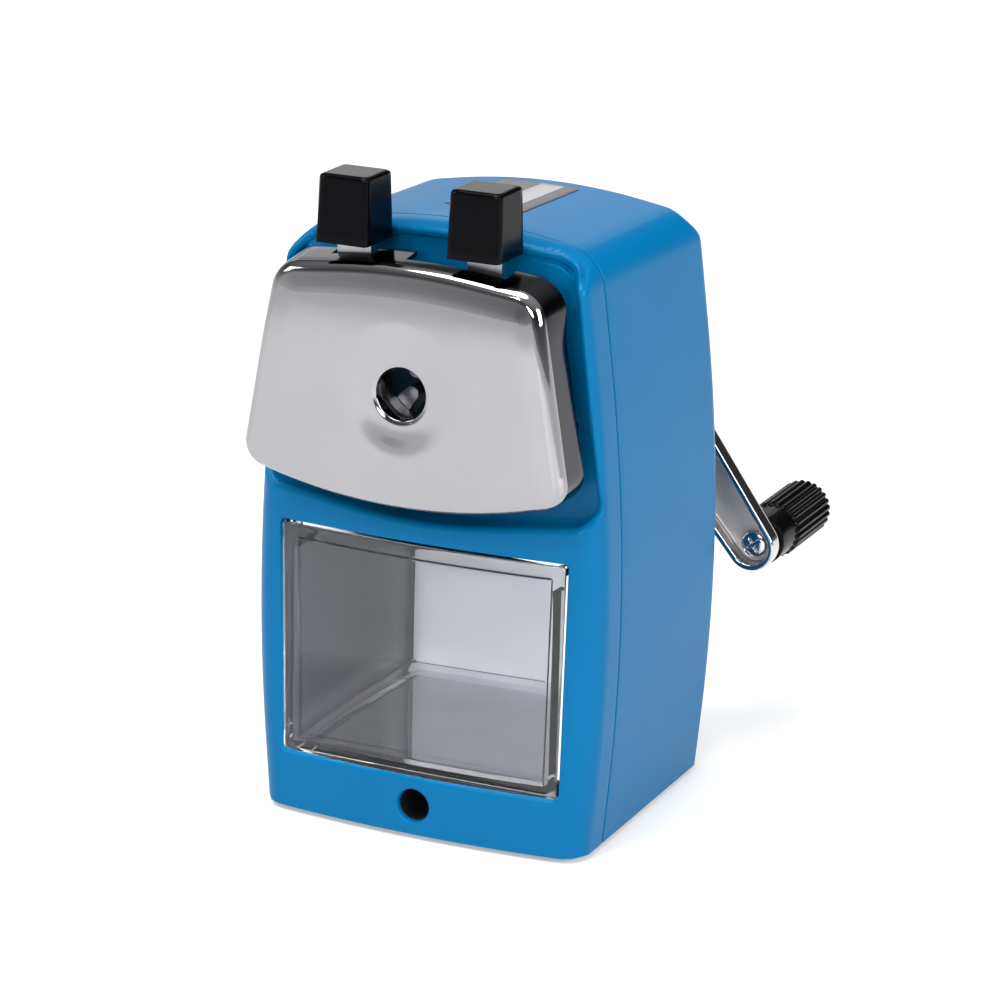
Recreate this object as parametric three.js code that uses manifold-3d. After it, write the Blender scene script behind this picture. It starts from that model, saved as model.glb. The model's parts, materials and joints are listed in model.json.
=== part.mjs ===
// Crank-operated desk pencil sharpener: a pressed-steel body with a clear shavings drawer, a
// spring-loaded face plate that carries a three-jaw chuck, and a planetary helical cutter.
// Millimetres, +Z up, front towards -Y. The origin is the middle of the base pad's underside.
import * as THREE from 'three';
import { mergeVertices } from 'three/addons/utils/BufferGeometryUtils.js';
import Module from 'manifold-3d';

const wasm = await Module();
wasm.setup();

// ---------------------------------------------------------------- driving dimensions
const GAP = 0.3; // clearance between pieces that touch
const RUNNING = 0.1; // radial clearance of shafts and rods in their bores

const BODY_DEPTH = 60; // front panel to rear wall
const BODY_BOTTOM = 1.0; // lower edge of the pressed shells
const SHEET = 1.2; // wall of the pressed shells
const EDGE_RADIUS = 4.6; // rounding of the front and rear vertical edges
const TOP_FRONT_RADIUS = 11;
const TOP_REAR_RADIUS = 7;
const TOP_FALL = 0.00025; // drop of the top towards the rear, per mm of depth and height
const FRONT_BOW_RADIUS = 213; // plan radius of the bowed front panel
const SEAM_Y = 12.2; // joint between front and rear shell

const PENCIL_Z = 84.1; // height of the pencil and crank axis
const PLATE_FRONT_Y = -8.2;
const PLATE_REAR_Y = 1.5;
const PLATE_SHEET = 1.0;
const RECESS_DEPTH = 7.0;

const WINDOW = { top: 55.1, bottom: 11.6, halfTop: 27.8, halfBottom: 27.2 };
const DRAWER_END_Y = 53;
const CLAMP_Z = 6.35;
const CLAMP_RADIUS = 3.05;

const ROD_X = 22.8;
const ROD_Z = 78;
const ROD_RADIUS = 1.95;
const ROD_END_Y = 54.8;
const FRAME_Y = 16.5; // front face of the mechanism frame
const FRAME_SHEET = 1.5;

const CUTTER_TILT = THREE.MathUtils.degToRad(10.5);
const RING_TEETH = 36;
const PINION_TEETH = 12;
const APEX_Y = 77.5; // where the cutter axis meets the pencil axis
const GEAR_Y = 22; // middle of the gear faces
const CUTTER_RADIUS = 5.3;

const CRANK_ANGLE = THREE.MathUtils.degToRad(37.9); // rest angle, from straight down towards +X
const CRANK_LENGTH = 56.3;
const ARM_RIM_Y = 72; // open edge of the crank arm's channel
const ARM_BACK_Y = 76.5;
const ARM_HUB_RADIUS = 7.1;
const ARM_TIP_RADIUS = 4.7;
const GRIP_END_Y = 101.6;
const GRIP_RADIUS = 5.45;

// ---------------------------------------------------------------- materials
function finish(color, roughness, metalness) {
  return new THREE.MeshStandardMaterial({ color, roughness, metalness });
}

const BLUE_PAINT = finish(0x1673b4, 0.22, 0.1);
const CHROME = finish(0xb9b9bb, 0.12, 1.0);
const STEEL = finish(0x9a9c9f, 0.35, 1.0);
const SPRING_STEEL = finish(0x85878a, 0.3, 1.0);
const HARD_STEEL = finish(0x6c6e72, 0.3, 1.0);
const BRASS = finish(0xb08d46, 0.3, 1.0);
const BLACK_PLASTIC = finish(0x121214, 0.3, 0.0);
const CLEAR_PLASTIC = finish(0xd9dee2, 0.08, 0.0);
const DARK_RUBBER = finish(0x1c1c1d, 0.85, 0.0);
const LABEL_GREY = finish(0x5a585b, 0.45, 0.0);

// ---------------------------------------------------------------- solids
function solid(geometry) {
  geometry.deleteAttribute('normal');
  geometry.deleteAttribute('uv');
  const merged = mergeVertices(geometry, 1e-4);
  const corners = merged.index.array;
  const triangles = [];
  for (let i = 0; i < corners.length; i += 3) {
    const [a, b, c] = corners.slice(i, i + 3);
    if (a !== b && b !== c && c !== a) triangles.push(a, b, c);
  }
  return new wasm.Manifold(new wasm.Mesh({
    numProp: 3,
    vertProperties: new Float32Array(merged.attributes.position.array),
    triVerts: new Uint32Array(triangles),
  }));
}

function geometryOf(manifold) {
  const mesh = manifold.getMesh();
  const geometry = new THREE.BufferGeometry();
  geometry.setAttribute('position', new THREE.BufferAttribute(mesh.vertProperties, 3));
  geometry.setIndex(new THREE.BufferAttribute(mesh.triVerts, 1));
  geometry.computeVertexNormals();
  return geometry;
}

const joined = (first, ...others) => others.reduce((all, one) => all.add(one), first);
const cut = (first, ...others) => others.reduce((all, one) => all.subtract(one), first);

function extrude(shape, depth, options = {}) {
  const settings = { depth, bevelEnabled: false, curveSegments: 4, steps: 1, ...options };
  return new THREE.ExtrudeGeometry(shape, settings);
}

// A shape drawn in (x, z), running along Y from y0 to y1.
function alongY(shape, y0, y1, options) {
  return extrude(shape, y1 - y0, options).rotateX(Math.PI / 2).translate(0, y1, 0);
}

// A shape drawn in (x, y), running along Z from z0 to z1.
function alongZ(shape, z0, z1, options) {
  return extrude(shape, z1 - z0, options).translate(0, 0, z0);
}

// A shape drawn in (y, z), running along X from x0 to x1.
function alongX(shape, x0, x1, options) {
  const turn = new THREE.Matrix4().makeBasis(
    new THREE.Vector3(0, 1, 0), new THREE.Vector3(0, 0, 1), new THREE.Vector3(1, 0, 0));
  return extrude(shape, x1 - x0, options).applyMatrix4(turn).translate(x0, 0, 0);
}

function box(x0, x1, y0, y1, z0, z1) {
  return solid(new THREE.BoxGeometry(x1 - x0, y1 - y0, z1 - z0)
    .translate((x0 + x1) / 2, (y0 + y1) / 2, (z0 + z1) / 2));
}

// A turned piece about the Y axis through (x, z): profile points are [radius, y].
function turnedGeometry(profile, x = 0, z = 0, segments = 24) {
  const points = profile.map(([radius, y]) => new THREE.Vector2(radius, y));
  return new THREE.LatheGeometry(points, segments).translate(x, 0, z);
}

const turned = (profile, x, z, segments) => solid(turnedGeometry(profile, x, z, segments));

// Closed turned profiles go round counter-clockwise in (radius, y).
const discProfile = (radius, y0, y1) => [[0, y0], [radius, y0], [radius, y1], [0, y1]];
const ringProfile = (inner, outer, y0, y1) => [
  [inner, y0], [outer, y0], [outer, y1], [inner, y1], [inner, y0]];

function disc(radius, y0, y1, x, z, segments) {
  return turned(discProfile(radius, y0, y1), x, z, segments);
}

function ring(inner, outer, y0, y1, x, z, segments) {
  return turned(ringProfile(inner, outer, y0, y1), x, z, segments);
}

// ---------------------------------------------------------------- outlines
// Corners are [x, y, radius], anticlockwise; radius 0 is sharp. Each edge moves inwards by inset.
function insetCorners(corners, inset) {
  return corners.map(([x, y, radius], i) => {
    const [ax, ay] = corners.at(i - 1);
    const [bx, by] = corners[(i + 1) % corners.length];
    const before = new THREE.Vector2(x - ax, y - ay).normalize();
    const after = new THREE.Vector2(bx - x, by - y).normalize();
    const scale = inset / (1 + before.dot(after));
    const rounding = before.cross(after) > 0 ? radius - inset : radius + inset;
    return [
      x + scale * (-before.y - after.y),
      y + scale * (before.x + after.x),
      radius === 0 ? 0 : Math.max(0.2, rounding),
    ];
  });
}

// A closed shape through the corners, each rounded by an arc of its own radius.
function filleted(corners, arcSteps = 4) {
  const points = [];
  corners.forEach(([x, y, radius], i) => {
    const corner = new THREE.Vector2(x, y);
    if (radius === 0) {
      points.push(corner);
      return;
    }
    const [beforeX, beforeY] = corners.at(i - 1);
    const [afterX, afterY] = corners[(i + 1) % corners.length];
    const toBefore = new THREE.Vector2(beforeX, beforeY).sub(corner).normalize();
    const toAfter = new THREE.Vector2(afterX, afterY).sub(corner).normalize();
    const half = Math.acos(THREE.MathUtils.clamp(toBefore.dot(toAfter), -1, 1)) / 2;
    const start = corner.clone().addScaledVector(toBefore, radius / Math.tan(half));
    const end = corner.clone().addScaledVector(toAfter, radius / Math.tan(half));
    const inward = toBefore.clone().add(toAfter).normalize();
    const centre = corner.clone().addScaledVector(inward, radius / Math.sin(half));
    const clockwise = toBefore.cross(toAfter) > 0;
    const from = Math.atan2(start.y - centre.y, start.x - centre.x);
    const to = Math.atan2(end.y - centre.y, end.x - centre.x);
    const arc = new THREE.EllipseCurve(centre.x, centre.y, radius, radius, from, to, clockwise);
    points.push(...arc.getPoints(arcSteps));
  });
  const distinct = points.filter((point, i) => point.distanceTo(points.at(i - 1)) > 1e-3);
  return new THREE.Shape(distinct);
}

// Right-hand corners from the bottom up, mirrored to close the outline.
function mirrored(rightCorners, middle = []) {
  const left = rightCorners.map(([x, y, radius]) => [-x, y, radius]).reverse();
  return [...rightCorners, ...middle, ...left];
}

const BODY_CORNERS = mirrored(
  [[30.7, -10, 0], [35.8, 50, 350], [27.9, 107.85, 8]],
  [[0, 112.45, 109]],
);
const PLATE_CORNERS = [
  ...mirrored([[31.2, 68.2, 4.5], [25.0, 104.2, 5.5]], [[0, 107.0, 118]]),
  [0, 60.6, 100],
];
const RECESS_CORNERS = [
  ...mirrored([[31.9, 62.0, 4], [26.2, 106.2, 6.5]], [[0, 109.3, 118]]),
  [0, 58.6, 100],
];
const WINDOW_CORNERS = mirrored([
  [WINDOW.halfBottom, WINDOW.bottom, 0.8],
  [WINDOW.halfTop, WINDOW.top, 0.8],
]);

function circleShape(x, y, radius) {
  const shape = new THREE.Shape();
  shape.absarc(x, y, radius, 0, 2 * Math.PI, false);
  return shape;
}

// ---------------------------------------------------------------- body
// Everything behind the bowed front panel, moved inwards by inset.
function behindBow(inset) {
  const circle = circleShape(0, FRONT_BOW_RADIUS, FRONT_BOW_RADIUS - inset);
  return solid(alongZ(circle, -30, 140, { curveSegments: 90 }));
}

// The pressed body's outer form, moved inwards by inset. It is open-ended below.
function bodyForm(inset) {
  const edge = EDGE_RADIUS - inset;
  const tube = alongY(filleted(insetCorners(BODY_CORNERS, inset)), inset + edge, BODY_DEPTH - inset - edge, {
    bevelEnabled: true,
    bevelThickness: edge,
    bevelSize: edge,
    bevelOffset: -edge,
    bevelSegments: 3,
  });
  const position = tube.attributes.position;
  for (let i = 0; i < position.count; i++) {
    position.setZ(i, position.getZ(i) * (1 - TOP_FALL * (position.getY(i) - SEAM_Y)));
  }
  const sideCorners = [
    [0, -20, 1],
    [BODY_DEPTH, -20, 1],
    [BODY_DEPTH, 109.7, TOP_REAR_RADIUS],
    [0, 111.6, TOP_FRONT_RADIUS],
  ];
  const side = alongX(filleted(insetCorners(sideCorners, inset)), -60, 60);
  return solid(tube).intersect(solid(side)).intersect(behindBow(inset));
}

const slab = (y0, y1) => box(-50, 50, y0, y1, BODY_BOTTOM, 130);

function rearShell() {
  const wall = bodyForm(0).subtract(bodyForm(SHEET)).intersect(slab(SEAM_Y + GAP / 2, 80));
  return wall.subtract(disc(6.2, 50, 70, 0, PENCIL_Z));
}

function frontShell() {
  const recessFloor = RECESS_DEPTH + SHEET;
  const recess = solid(alongY(filleted(RECESS_CORNERS), -20, RECESS_DEPTH));
  const recessWall = solid(alongY(filleted(insetCorners(RECESS_CORNERS, -SHEET)), -20, recessFloor));
  const window = solid(alongY(filleted(WINDOW_CORNERS), -5, SEAM_Y));
  const lipOuter = bodyForm(SHEET + GAP);
  const lipInner = bodyForm(SHEET + GAP + 0.9);
  const lip = lipOuter.subtract(lipInner).intersect(slab(SEAM_Y - 3.5, SEAM_Y + 3.5));
  const bridge = bodyForm(SHEET / 2).subtract(lipInner).intersect(slab(SEAM_Y - 3.5, SEAM_Y - GAP / 2));
  const hollow = bodyForm(SHEET).subtract(recessWall);
  const skin = bodyForm(0).subtract(hollow).intersect(slab(-20, SEAM_Y - GAP / 2));
  return cut(
    joined(skin, lip, bridge),
    recess,
    window,
    disc(CLAMP_RADIUS, -5, SEAM_Y, 0, CLAMP_Z, 32),
    disc(17.5, 0, SEAM_Y, 0, PENCIL_Z, 32),
    disc(5.2, 0, SEAM_Y, ROD_X, ROD_Z),
    disc(5.2, 0, SEAM_Y, -ROD_X, ROD_Z),
  );
}

function topLabel() {
  const outline = filleted([[-7.4, 23.4, 0.8], [7.8, 23.4, 0.8], [7.8, 48.8, 0.8], [-7.4, 48.8, 0.8]]);
  const layer = bodyForm(-0.5).subtract(bodyForm(-0.15));
  return layer.intersect(solid(alongZ(outline, 100, 130)));
}

// ---------------------------------------------------------------- base and drawer bay
const BASE_SCREWS = [[-24, 9], [24, 9], [24, 51], [-24, 51]];
const PAD_TOP = 1.2;
const BASE_TOP = 2.5;
const FLANGE_TOP = 3.8;

function basePad() {
  const outline = filleted([[-28.5, 4.4, 5], [28.5, 4.4, 5], [28.5, 57.2, 5], [-28.5, 57.2, 5]]);
  const holes = BASE_SCREWS.map(([x, y]) => solid(alongZ(circleShape(x, y, 3.3), -1, 3)));
  return cut(solid(alongZ(outline, 0, PAD_TOP)), ...holes);
}

function basePlate() {
  const outline = filleted([[-28.9, 3.6, 4.5], [28.9, 3.6, 4.5], [28.9, 58.2, 4.5], [-28.9, 58.2, 4.5]]);
  const holes = BASE_SCREWS.map(([x, y]) => solid(alongZ(circleShape(x, y, 1.7), 0, 4)));
  return cut(solid(alongZ(outline, PAD_TOP + GAP, BASE_TOP)), ...holes);
}

// A pan-head screw along local -Z, its head's underside at z = 0.
function panScrew(shankRadius, shankLength, headRadius, headHeight) {
  const profile = [
    [0, -shankLength],
    [shankRadius, -shankLength],
    [shankRadius, 0],
    [headRadius, 0],
    [headRadius, headHeight * 0.55],
    [headRadius * 0.62, headHeight],
    [0, headHeight],
  ];
  const body = turned(profile, 0, 0, 16);
  const slot = box(-headRadius * 0.6, headRadius * 0.6, headHeight * 0.5, headHeight + 1, -0.3, 0.3);
  const cross = box(-0.3, 0.3, headHeight * 0.5, headHeight + 1, -headRadius * 0.6, headRadius * 0.6);
  return geometryOf(cut(body, slot, cross)).rotateX(Math.PI / 2);
}

function drawerBay() {
  const wall = 0.8;
  const half = 28.0;
  const top = 57.0;
  const floor = 10.6;
  const section = new THREE.Shape();
  section.moveTo(-half - wall, BASE_TOP + GAP);
  section.lineTo(-half + 7, BASE_TOP + GAP);
  section.lineTo(-half + 7, FLANGE_TOP);
  section.lineTo(-half, FLANGE_TOP);
  section.lineTo(-half, floor);
  section.lineTo(half, floor);
  section.lineTo(half, FLANGE_TOP);
  section.lineTo(half - 7, FLANGE_TOP);
  section.lineTo(half - 7, BASE_TOP + GAP);
  section.lineTo(half + wall, BASE_TOP + GAP);
  section.lineTo(half + wall, top);
  section.lineTo(half, top);
  section.lineTo(half, floor + wall);
  section.lineTo(-half, floor + wall);
  section.lineTo(-half, top);
  section.lineTo(-half - wall, top);
  section.closePath();
  const channel = solid(alongY(section, 4.0, 56.4));
  const back = box(-half - wall, half + wall, 55.4, 56.4, floor, top);
  const screwHoles = BASE_SCREWS.map(([x, y]) => solid(alongZ(circleShape(x, y, 1.7), 0, 8)));
  const sideHole = solid(alongX(circleShape(21, 52, 1.7), -40, 40));
  return cut(channel.add(back), sideHole, ...screwHoles);
}

function clampSocket() {
  return ring(CLAMP_RADIUS, 3.65, 1.6, 22, 0, CLAMP_Z, 32);
}

// Clear tray with a thick bevelled front that fills the window.
function drawer() {
  const frontBack = 3.4;
  const halfTray = 26.2;
  const trayTop = 50;
  const trayFloor = WINDOW.bottom + GAP;
  const wall = 1.6;
  const block = solid(alongY(filleted(insetCorners(WINDOW_CORNERS, GAP)), -2, frontBack));
  const front = block.intersect(behindBow(0));
  const panel = solid(alongY(filleted(insetCorners(WINDOW_CORNERS, 3.0)), -2, 1.0));
  const bevel = solid(alongY(filleted(insetCorners(WINDOW_CORNERS, 2.1)), -2, 0.8));
  const inner = halfTray - wall;
  const tray = cut(
    box(-halfTray, halfTray, frontBack - 0.5, DRAWER_END_Y, trayFloor, trayTop),
    box(-inner, inner, frontBack, DRAWER_END_Y - wall, trayFloor + wall, trayTop + 5),
  );
  return joined(cut(front, panel, bevel), tray);
}

// ---------------------------------------------------------------- mechanism frame
const GEAR_SCREW_ANGLES = [90, 215, 325].map(THREE.MathUtils.degToRad);
const GEAR_SCREW_RADIUS = 20.6;

function framePlate() {
  const legSpan = [29.2, 30.3];
  const foot = legSpan[1];
  const outline = filleted(mirrored([[foot, 57.4, 0.5], [foot, 61, 2], [25.0, 70, 12], [25.6, 105, 5]]));
  const plate = solid(alongY(outline, FRAME_Y, FRAME_Y + FRAME_SHEET));
  const legs = [legSpan, [-legSpan[1], -legSpan[0]]].map(([x0, x1]) => box(x0, x1, FRAME_Y, 26, 46, 60));
  const screwHoles = GEAR_SCREW_ANGLES.map((angle) => disc(
    1.5, 10, 30, GEAR_SCREW_RADIUS * Math.cos(angle), PENCIL_Z + GEAR_SCREW_RADIUS * Math.sin(angle), 16));
  return cut(
    joined(plate, ...legs),
    disc(9, 10, 30, 0, PENCIL_Z, 32),
    disc(3.7, 10, 30, ROD_X, ROD_Z),
    disc(3.7, 10, 30, -ROD_X, ROD_Z),
    solid(alongX(circleShape(21, 52, 1.7), -40, 40)),
    ...screwHoles,
  );
}

function guideBush(x) {
  const bore = ROD_RADIUS + RUNNING;
  const flange = ringProfile(bore, 4.8, 14.9, 16.2);
  const sleeve = ringProfile(bore, 3.4, 16.0, 19.6);
  return turned(flange, x, ROD_Z).add(turned(sleeve, x, ROD_Z));
}

// ---------------------------------------------------------------- gears and cutter
// Straight bevel gearing: every tooth tapers towards the apex on the pencil axis.
const RING_CONE = Math.atan(3 * Math.sin(CUTTER_TILT) / (3 * Math.cos(CUTTER_TILT) - 1));
const PINION_CONE = RING_CONE - CUTTER_TILT;
const APEX_DISTANCE = APEX_Y - GEAR_Y;
const RING_PITCH = APEX_DISTANCE * Math.tan(RING_CONE);
const PINION_DISTANCE = APEX_DISTANCE / Math.cos(CUTTER_TILT);
const PINION_PITCH = PINION_DISTANCE * Math.tan(PINION_CONE);
const GEAR_MODULE = 2 * RING_PITCH / RING_TEETH;

// A gear outline with trapezoid teeth; width is the tooth's share of the pitch at each radius.
function gearShape(teeth, rootRadius, tipRadius, rootShare, tipShare, phase) {
  const shape = new THREE.Shape();
  const pitch = 2 * Math.PI / teeth;
  for (let i = 0; i < teeth; i++) {
    const middle = phase + i * pitch;
    const corners = [
      [rootRadius, -rootShare], [tipRadius, -tipShare], [tipRadius, tipShare], [rootRadius, rootShare]];
    corners.forEach(([radius, share], k) => {
      const angle = middle + share * pitch / 2;
      const x = radius * Math.cos(angle);
      const y = radius * Math.sin(angle);
      if (i === 0 && k === 0) shape.moveTo(x, y);
      else shape.lineTo(x, y);
    });
  }
  shape.closePath();
  return shape;
}

// Scales a geometry about the Y axis in proportion to its distance from apexY.
function tapered(geometry, apexY, unitDistance) {
  const position = geometry.attributes.position;
  for (let i = 0; i < position.count; i++) {
    const scale = (apexY - position.getY(i)) / unitDistance;
    position.setX(i, position.getX(i) * scale);
    position.setZ(i, position.getZ(i) * scale);
  }
  return geometry;
}

function ringGear() {
  const y0 = 19.4;
  const y1 = 25.0;
  const spaceTop = RING_PITCH - 0.72 * GEAR_MODULE;
  const spaceRoot = RING_PITCH + 1.15 * GEAR_MODULE;
  const spaceShape = gearShape(RING_TEETH, spaceTop, spaceRoot, 0.78, 0.36, Math.PI / 2);
  const spaces = tapered(alongY(spaceShape, y0 - 1, y1 + 1), APEX_Y, APEX_DISTANCE).translate(0, 0, PENCIL_Z);
  const rim = disc(19.5, y0, y1, 0, PENCIL_Z, 48);
  const ears = GEAR_SCREW_ANGLES.map((angle) => {
    const x = GEAR_SCREW_RADIUS * Math.cos(angle);
    const z = PENCIL_Z + GEAR_SCREW_RADIUS * Math.sin(angle);
    return { ear: disc(2.9, FRAME_Y + FRAME_SHEET + GAP, y1, x, z, 20), hole: disc(1.4, 10, 30, x, z, 16) };
  });
  return cut(joined(rim, ...ears.map((one) => one.ear)), solid(spaces), ...ears.map((one) => one.hole));
}

// The cutter group's local Y axis is the cutter's own axis, with the apex at local y = 0.
const PINION_SPAN = [-58.6, -53.7];
const MILL_SPAN = [-47.6, -26.6];
const SPINDLE_SPAN = [-58.8, -22.6];
const SPINDLE_RADIUS = 1.5;

function cutterPinion() {
  const root = PINION_PITCH - 1.15 * GEAR_MODULE;
  const tip = PINION_PITCH + 0.62 * GEAR_MODULE;
  const shape = gearShape(PINION_TEETH, root, tip, 0.66, 0.24, Math.PI / 2);
  const teeth = tapered(alongY(shape, PINION_SPAN[0], PINION_SPAN[1]), 0, PINION_DISTANCE);
  return solid(teeth).subtract(disc(SPINDLE_RADIUS + RUNNING, -70, -40, 0, 0));
}

function helicalCutter() {
  const flutes = 10;
  const turn = THREE.MathUtils.degToRad(75);
  const shape = gearShape(flutes, CUTTER_RADIUS - 0.9, CUTTER_RADIUS, 0.75, 0.2, 0);
  const blank = alongY(shape, MILL_SPAN[0], MILL_SPAN[1], { steps: 8 });
  const position = blank.attributes.position;
  for (let i = 0; i < position.count; i++) {
    const angle = turn * (position.getY(i) - MILL_SPAN[0]) / (MILL_SPAN[1] - MILL_SPAN[0]);
    const x = position.getX(i);
    const z = position.getZ(i);
    position.setX(i, x * Math.cos(angle) - z * Math.sin(angle));
    position.setZ(i, x * Math.sin(angle) + z * Math.cos(angle));
  }
  return solid(blank).subtract(disc(SPINDLE_RADIUS + RUNNING, -70, -10, 0, 0));
}

// Brings a solid from the cutter's own frame into the model's frame.
function tilted(manifold) {
  const place = new THREE.Matrix4().makeRotationX(-CUTTER_TILT).setPosition(0, APEX_Y, PENCIL_Z);
  return solid(geometryOf(manifold).applyMatrix4(place));
}

function cutterCarrier() {
  const barAngles = [-1, 1].map((side) => Math.PI / 2 + side * THREE.MathUtils.degToRad(115));
  const bars = barAngles.map((angle) => solid(new THREE.BoxGeometry(3.4, 25.4, 6)
    .rotateY(-angle).translate(10.6 * Math.cos(angle), 40.9, PENCIL_Z + 10.6 * Math.sin(angle))));
  const bearings = disc(13, 26.4, 28.6, 0, PENCIL_Z, 32).add(disc(12.3, 53.2, 55.2, 0, PENCIL_Z, 32));
  const hub = disc(5.6, 55.0, 57.0, 0, PENCIL_Z);
  return cut(
    joined(bearings, hub, ...bars),
    disc(4.6, 20, 30, 0, PENCIL_Z),
    disc(3.0 + RUNNING, 55.7, 60, 0, PENCIL_Z),
    tilted(disc(SPINDLE_RADIUS + RUNNING + 0.05, -62, -22.2, 0, 0, 16)),
  );
}

// ---------------------------------------------------------------- face plate and chuck
const CHUCK_PIN_RADIUS = 13;
const CHUCK_PIN_ANGLES = [110, 230, 350].map(THREE.MathUtils.degToRad);
const DRIVE_PIN_OFFSET = 4.33; // jaw pivot to drive pin
const TAB = { inner: 9.1, outer: 15.5, front: -1.3, back: -0.3, top: 115.5 };

function faceplate() {
  const bevel = 1.6;
  const shell = solid(alongY(filleted(PLATE_CORNERS), PLATE_FRONT_Y + bevel, 12, {
    bevelEnabled: true, bevelThickness: bevel, bevelSize: bevel, bevelOffset: -bevel, bevelSegments: 3,
  }));
  const inside = filleted(insetCorners(PLATE_CORNERS, PLATE_SHEET));
  const hollow = solid(alongY(inside, PLATE_FRONT_Y + PLATE_SHEET, 20));
  const boss = disc(9.8, PLATE_FRONT_Y + 0.5, -5.2, 0, PENCIL_Z, 32);
  const dish = turned([
    [0, -12], [9.2, -12], [9.2, PLATE_FRONT_Y], [7.6, PLATE_FRONT_Y + 0.35], [6.0, PLATE_FRONT_Y + 0.95],
    [4.95, PLATE_FRONT_Y + 1.75], [4.65, PLATE_FRONT_Y + 2.2], [4.65, 0], [0, 0]], 0, PENCIL_Z, 32);
  const leverSlot = box(-1.6, 17.0, -3.1, 5, 98, 112);
  const tabNotch = box(-16.2, -8.4, -2.1, 5, 98, 112);
  const cup = shell.subtract(hollow).intersect(box(-50, 50, -20, PLATE_REAR_Y, 0, 200));
  return cut(cup.add(boss), dish, leverSlot, tabNotch);
}

// Steel back plate with the fixed finger tab and the spring seat bent out of it.
function carriagePlate() {
  const sheet = [-4.2, -3.2];
  const plate = solid(alongY(filleted(insetCorners(PLATE_CORNERS, 2.2)), ...sheet));
  const tabFoot = box(-TAB.outer, -TAB.inner, sheet[0], TAB.back, 98.6, 99.6);
  const tab = box(-TAB.outer, -TAB.inner, TAB.front, TAB.back, 98.6, TAB.top);
  const springSeat = box(-0.8, 0.2, sheet[0], 0.4, 100.5, 104.9);
  return cut(
    joined(plate, tabFoot, tab, springSeat),
    box(0.2, 17.0, -8, -1.6, 102.4, 110),
    disc(6.0, -8, 0, 0, PENCIL_Z),
    disc(1.5, -8, 0, ROD_X, ROD_Z, 16),
    disc(1.5, -8, 0, -ROD_X, ROD_Z, 16),
  );
}

function chuckPin(angle) {
  return [CHUCK_PIN_RADIUS * Math.cos(angle), PENCIL_Z + CHUCK_PIN_RADIUS * Math.sin(angle)];
}

function chuckBase() {
  const profile = [
    [5.2, -2.9], [15.2, -2.9], [15.2, -1.6], [6.6, -1.6], [6.6, -0.1], [5.2, -0.1], [5.2, -2.9]];
  const holes = CHUCK_PIN_ANGLES.map((angle) => disc(1.2, -5, 5, ...chuckPin(angle), 16));
  return cut(turned(profile, 0, PENCIL_Z, 40), ...holes);
}

function jawPin(angle) {
  const profile = [[0, -2.8], [1.1, -2.8], [1.1, 6.3], [2.0, 6.3], [2.0, 7.1], [0, 7.1]];
  return turned(profile, ...chuckPin(angle), 16);
}

// A jaw points from its pin to the pencil axis. Its drive pin runs in the lever's slot.
function jaw(angle) {
  const pivot = new THREE.Vector2(CHUCK_PIN_RADIUS, 0);
  const tipCentre = 2.5;
  const outline = new THREE.Shape();
  outline.absarc(pivot.x, 0, 2.3, -Math.PI / 2, Math.PI / 2, false);
  outline.absarc(tipCentre, 0, 1.3, Math.PI / 2, 3 * Math.PI / 2, false);
  outline.closePath();
  const arm = solid(alongY(outline, 0.1, 6.0, { curveSegments: 5 }));
  const drivePin = disc(0.8, -1.3, 1, pivot.x - DRIVE_PIN_OFFSET, 0, 12);
  const bore = disc(1.2, -5, 10, pivot.x, 0, 16);
  const geometry = geometryOf(cut(arm.add(drivePin), bore)).rotateY(-angle).translate(0, 0, PENCIL_Z);
  return solid(geometry);
}

function chuckLever() {
  const sheet = [TAB.front, TAB.back];
  const disk = ring(6.9, 11.5, ...sheet, 0, PENCIL_Z, 40);
  const arm = new THREE.Shape();
  arm.moveTo(3.2, PENCIL_Z + 8.6);
  arm.lineTo(9.0, PENCIL_Z + 4.4);
  arm.lineTo(TAB.outer, PENCIL_Z + 14.5);
  arm.lineTo(TAB.outer, TAB.top);
  arm.lineTo(TAB.inner, TAB.top);
  arm.lineTo(TAB.inner, PENCIL_Z + 16.5);
  arm.closePath();
  const slotRadius = CHUCK_PIN_RADIUS - DRIVE_PIN_OFFSET + 0.35;
  const slots = CHUCK_PIN_ANGLES.map((angle) => solid(new THREE.BoxGeometry(3.2, 4, 2.5)
    .translate(slotRadius, -0.8, 0).rotateY(-angle).translate(0, 0, PENCIL_Z)));
  return cut(joined(disk, solid(alongY(arm, ...sheet))), ...slots);
}

// Square finger cap, narrower at the top, with a pocket for its steel tab.
function fingerCap(centreX) {
  const bottom = 108.4;
  const top = 120.3;
  const centreY = -1.2;
  const halfX = 4.76;
  const halfY = 4.9;
  const round = 1.0;
  const outline = filleted(mirrored([[halfX, -halfY, 1.5], [halfX, halfY, 1.5]]));
  const block = alongZ(outline, bottom, top - round, {
    bevelEnabled: true,
    bevelThickness: round,
    bevelSize: round,
    bevelOffset: -round,
    bevelSegments: 2,
    curveSegments: 2,
  });
  const position = block.attributes.position;
  for (let i = 0; i < position.count; i++) {
    const rise = (position.getZ(i) - bottom) / (top - bottom);
    position.setX(i, position.getX(i) * (1 - 0.07 * rise));
    position.setY(i, position.getY(i) * (1 - 0.14 * rise));
  }
  const form = solid(block.translate(centreX, centreY, 0)).intersect(box(-30, 30, -30, 30, bottom, 130));
  const pocketX = (TAB.outer - TAB.inner) / 2 + GAP;
  const [x0, x1] = [centreX - pocketX, centreX + pocketX];
  return form.subtract(box(x0, x1, TAB.front - GAP, TAB.back + GAP, 100, TAB.top + GAP));
}

function guideRod(x) {
  const profile = [
    [0, -4.2], [1.4, -4.2], [1.4, -2.9], [ROD_RADIUS, -2.9], [ROD_RADIUS, ROD_END_Y], [0, ROD_END_Y]];
  return turned(profile, x, ROD_Z);
}

const rodStop = (x) => ring(ROD_RADIUS + RUNNING, 4.0, 53.0, 54.2, x, ROD_Z);

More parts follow.
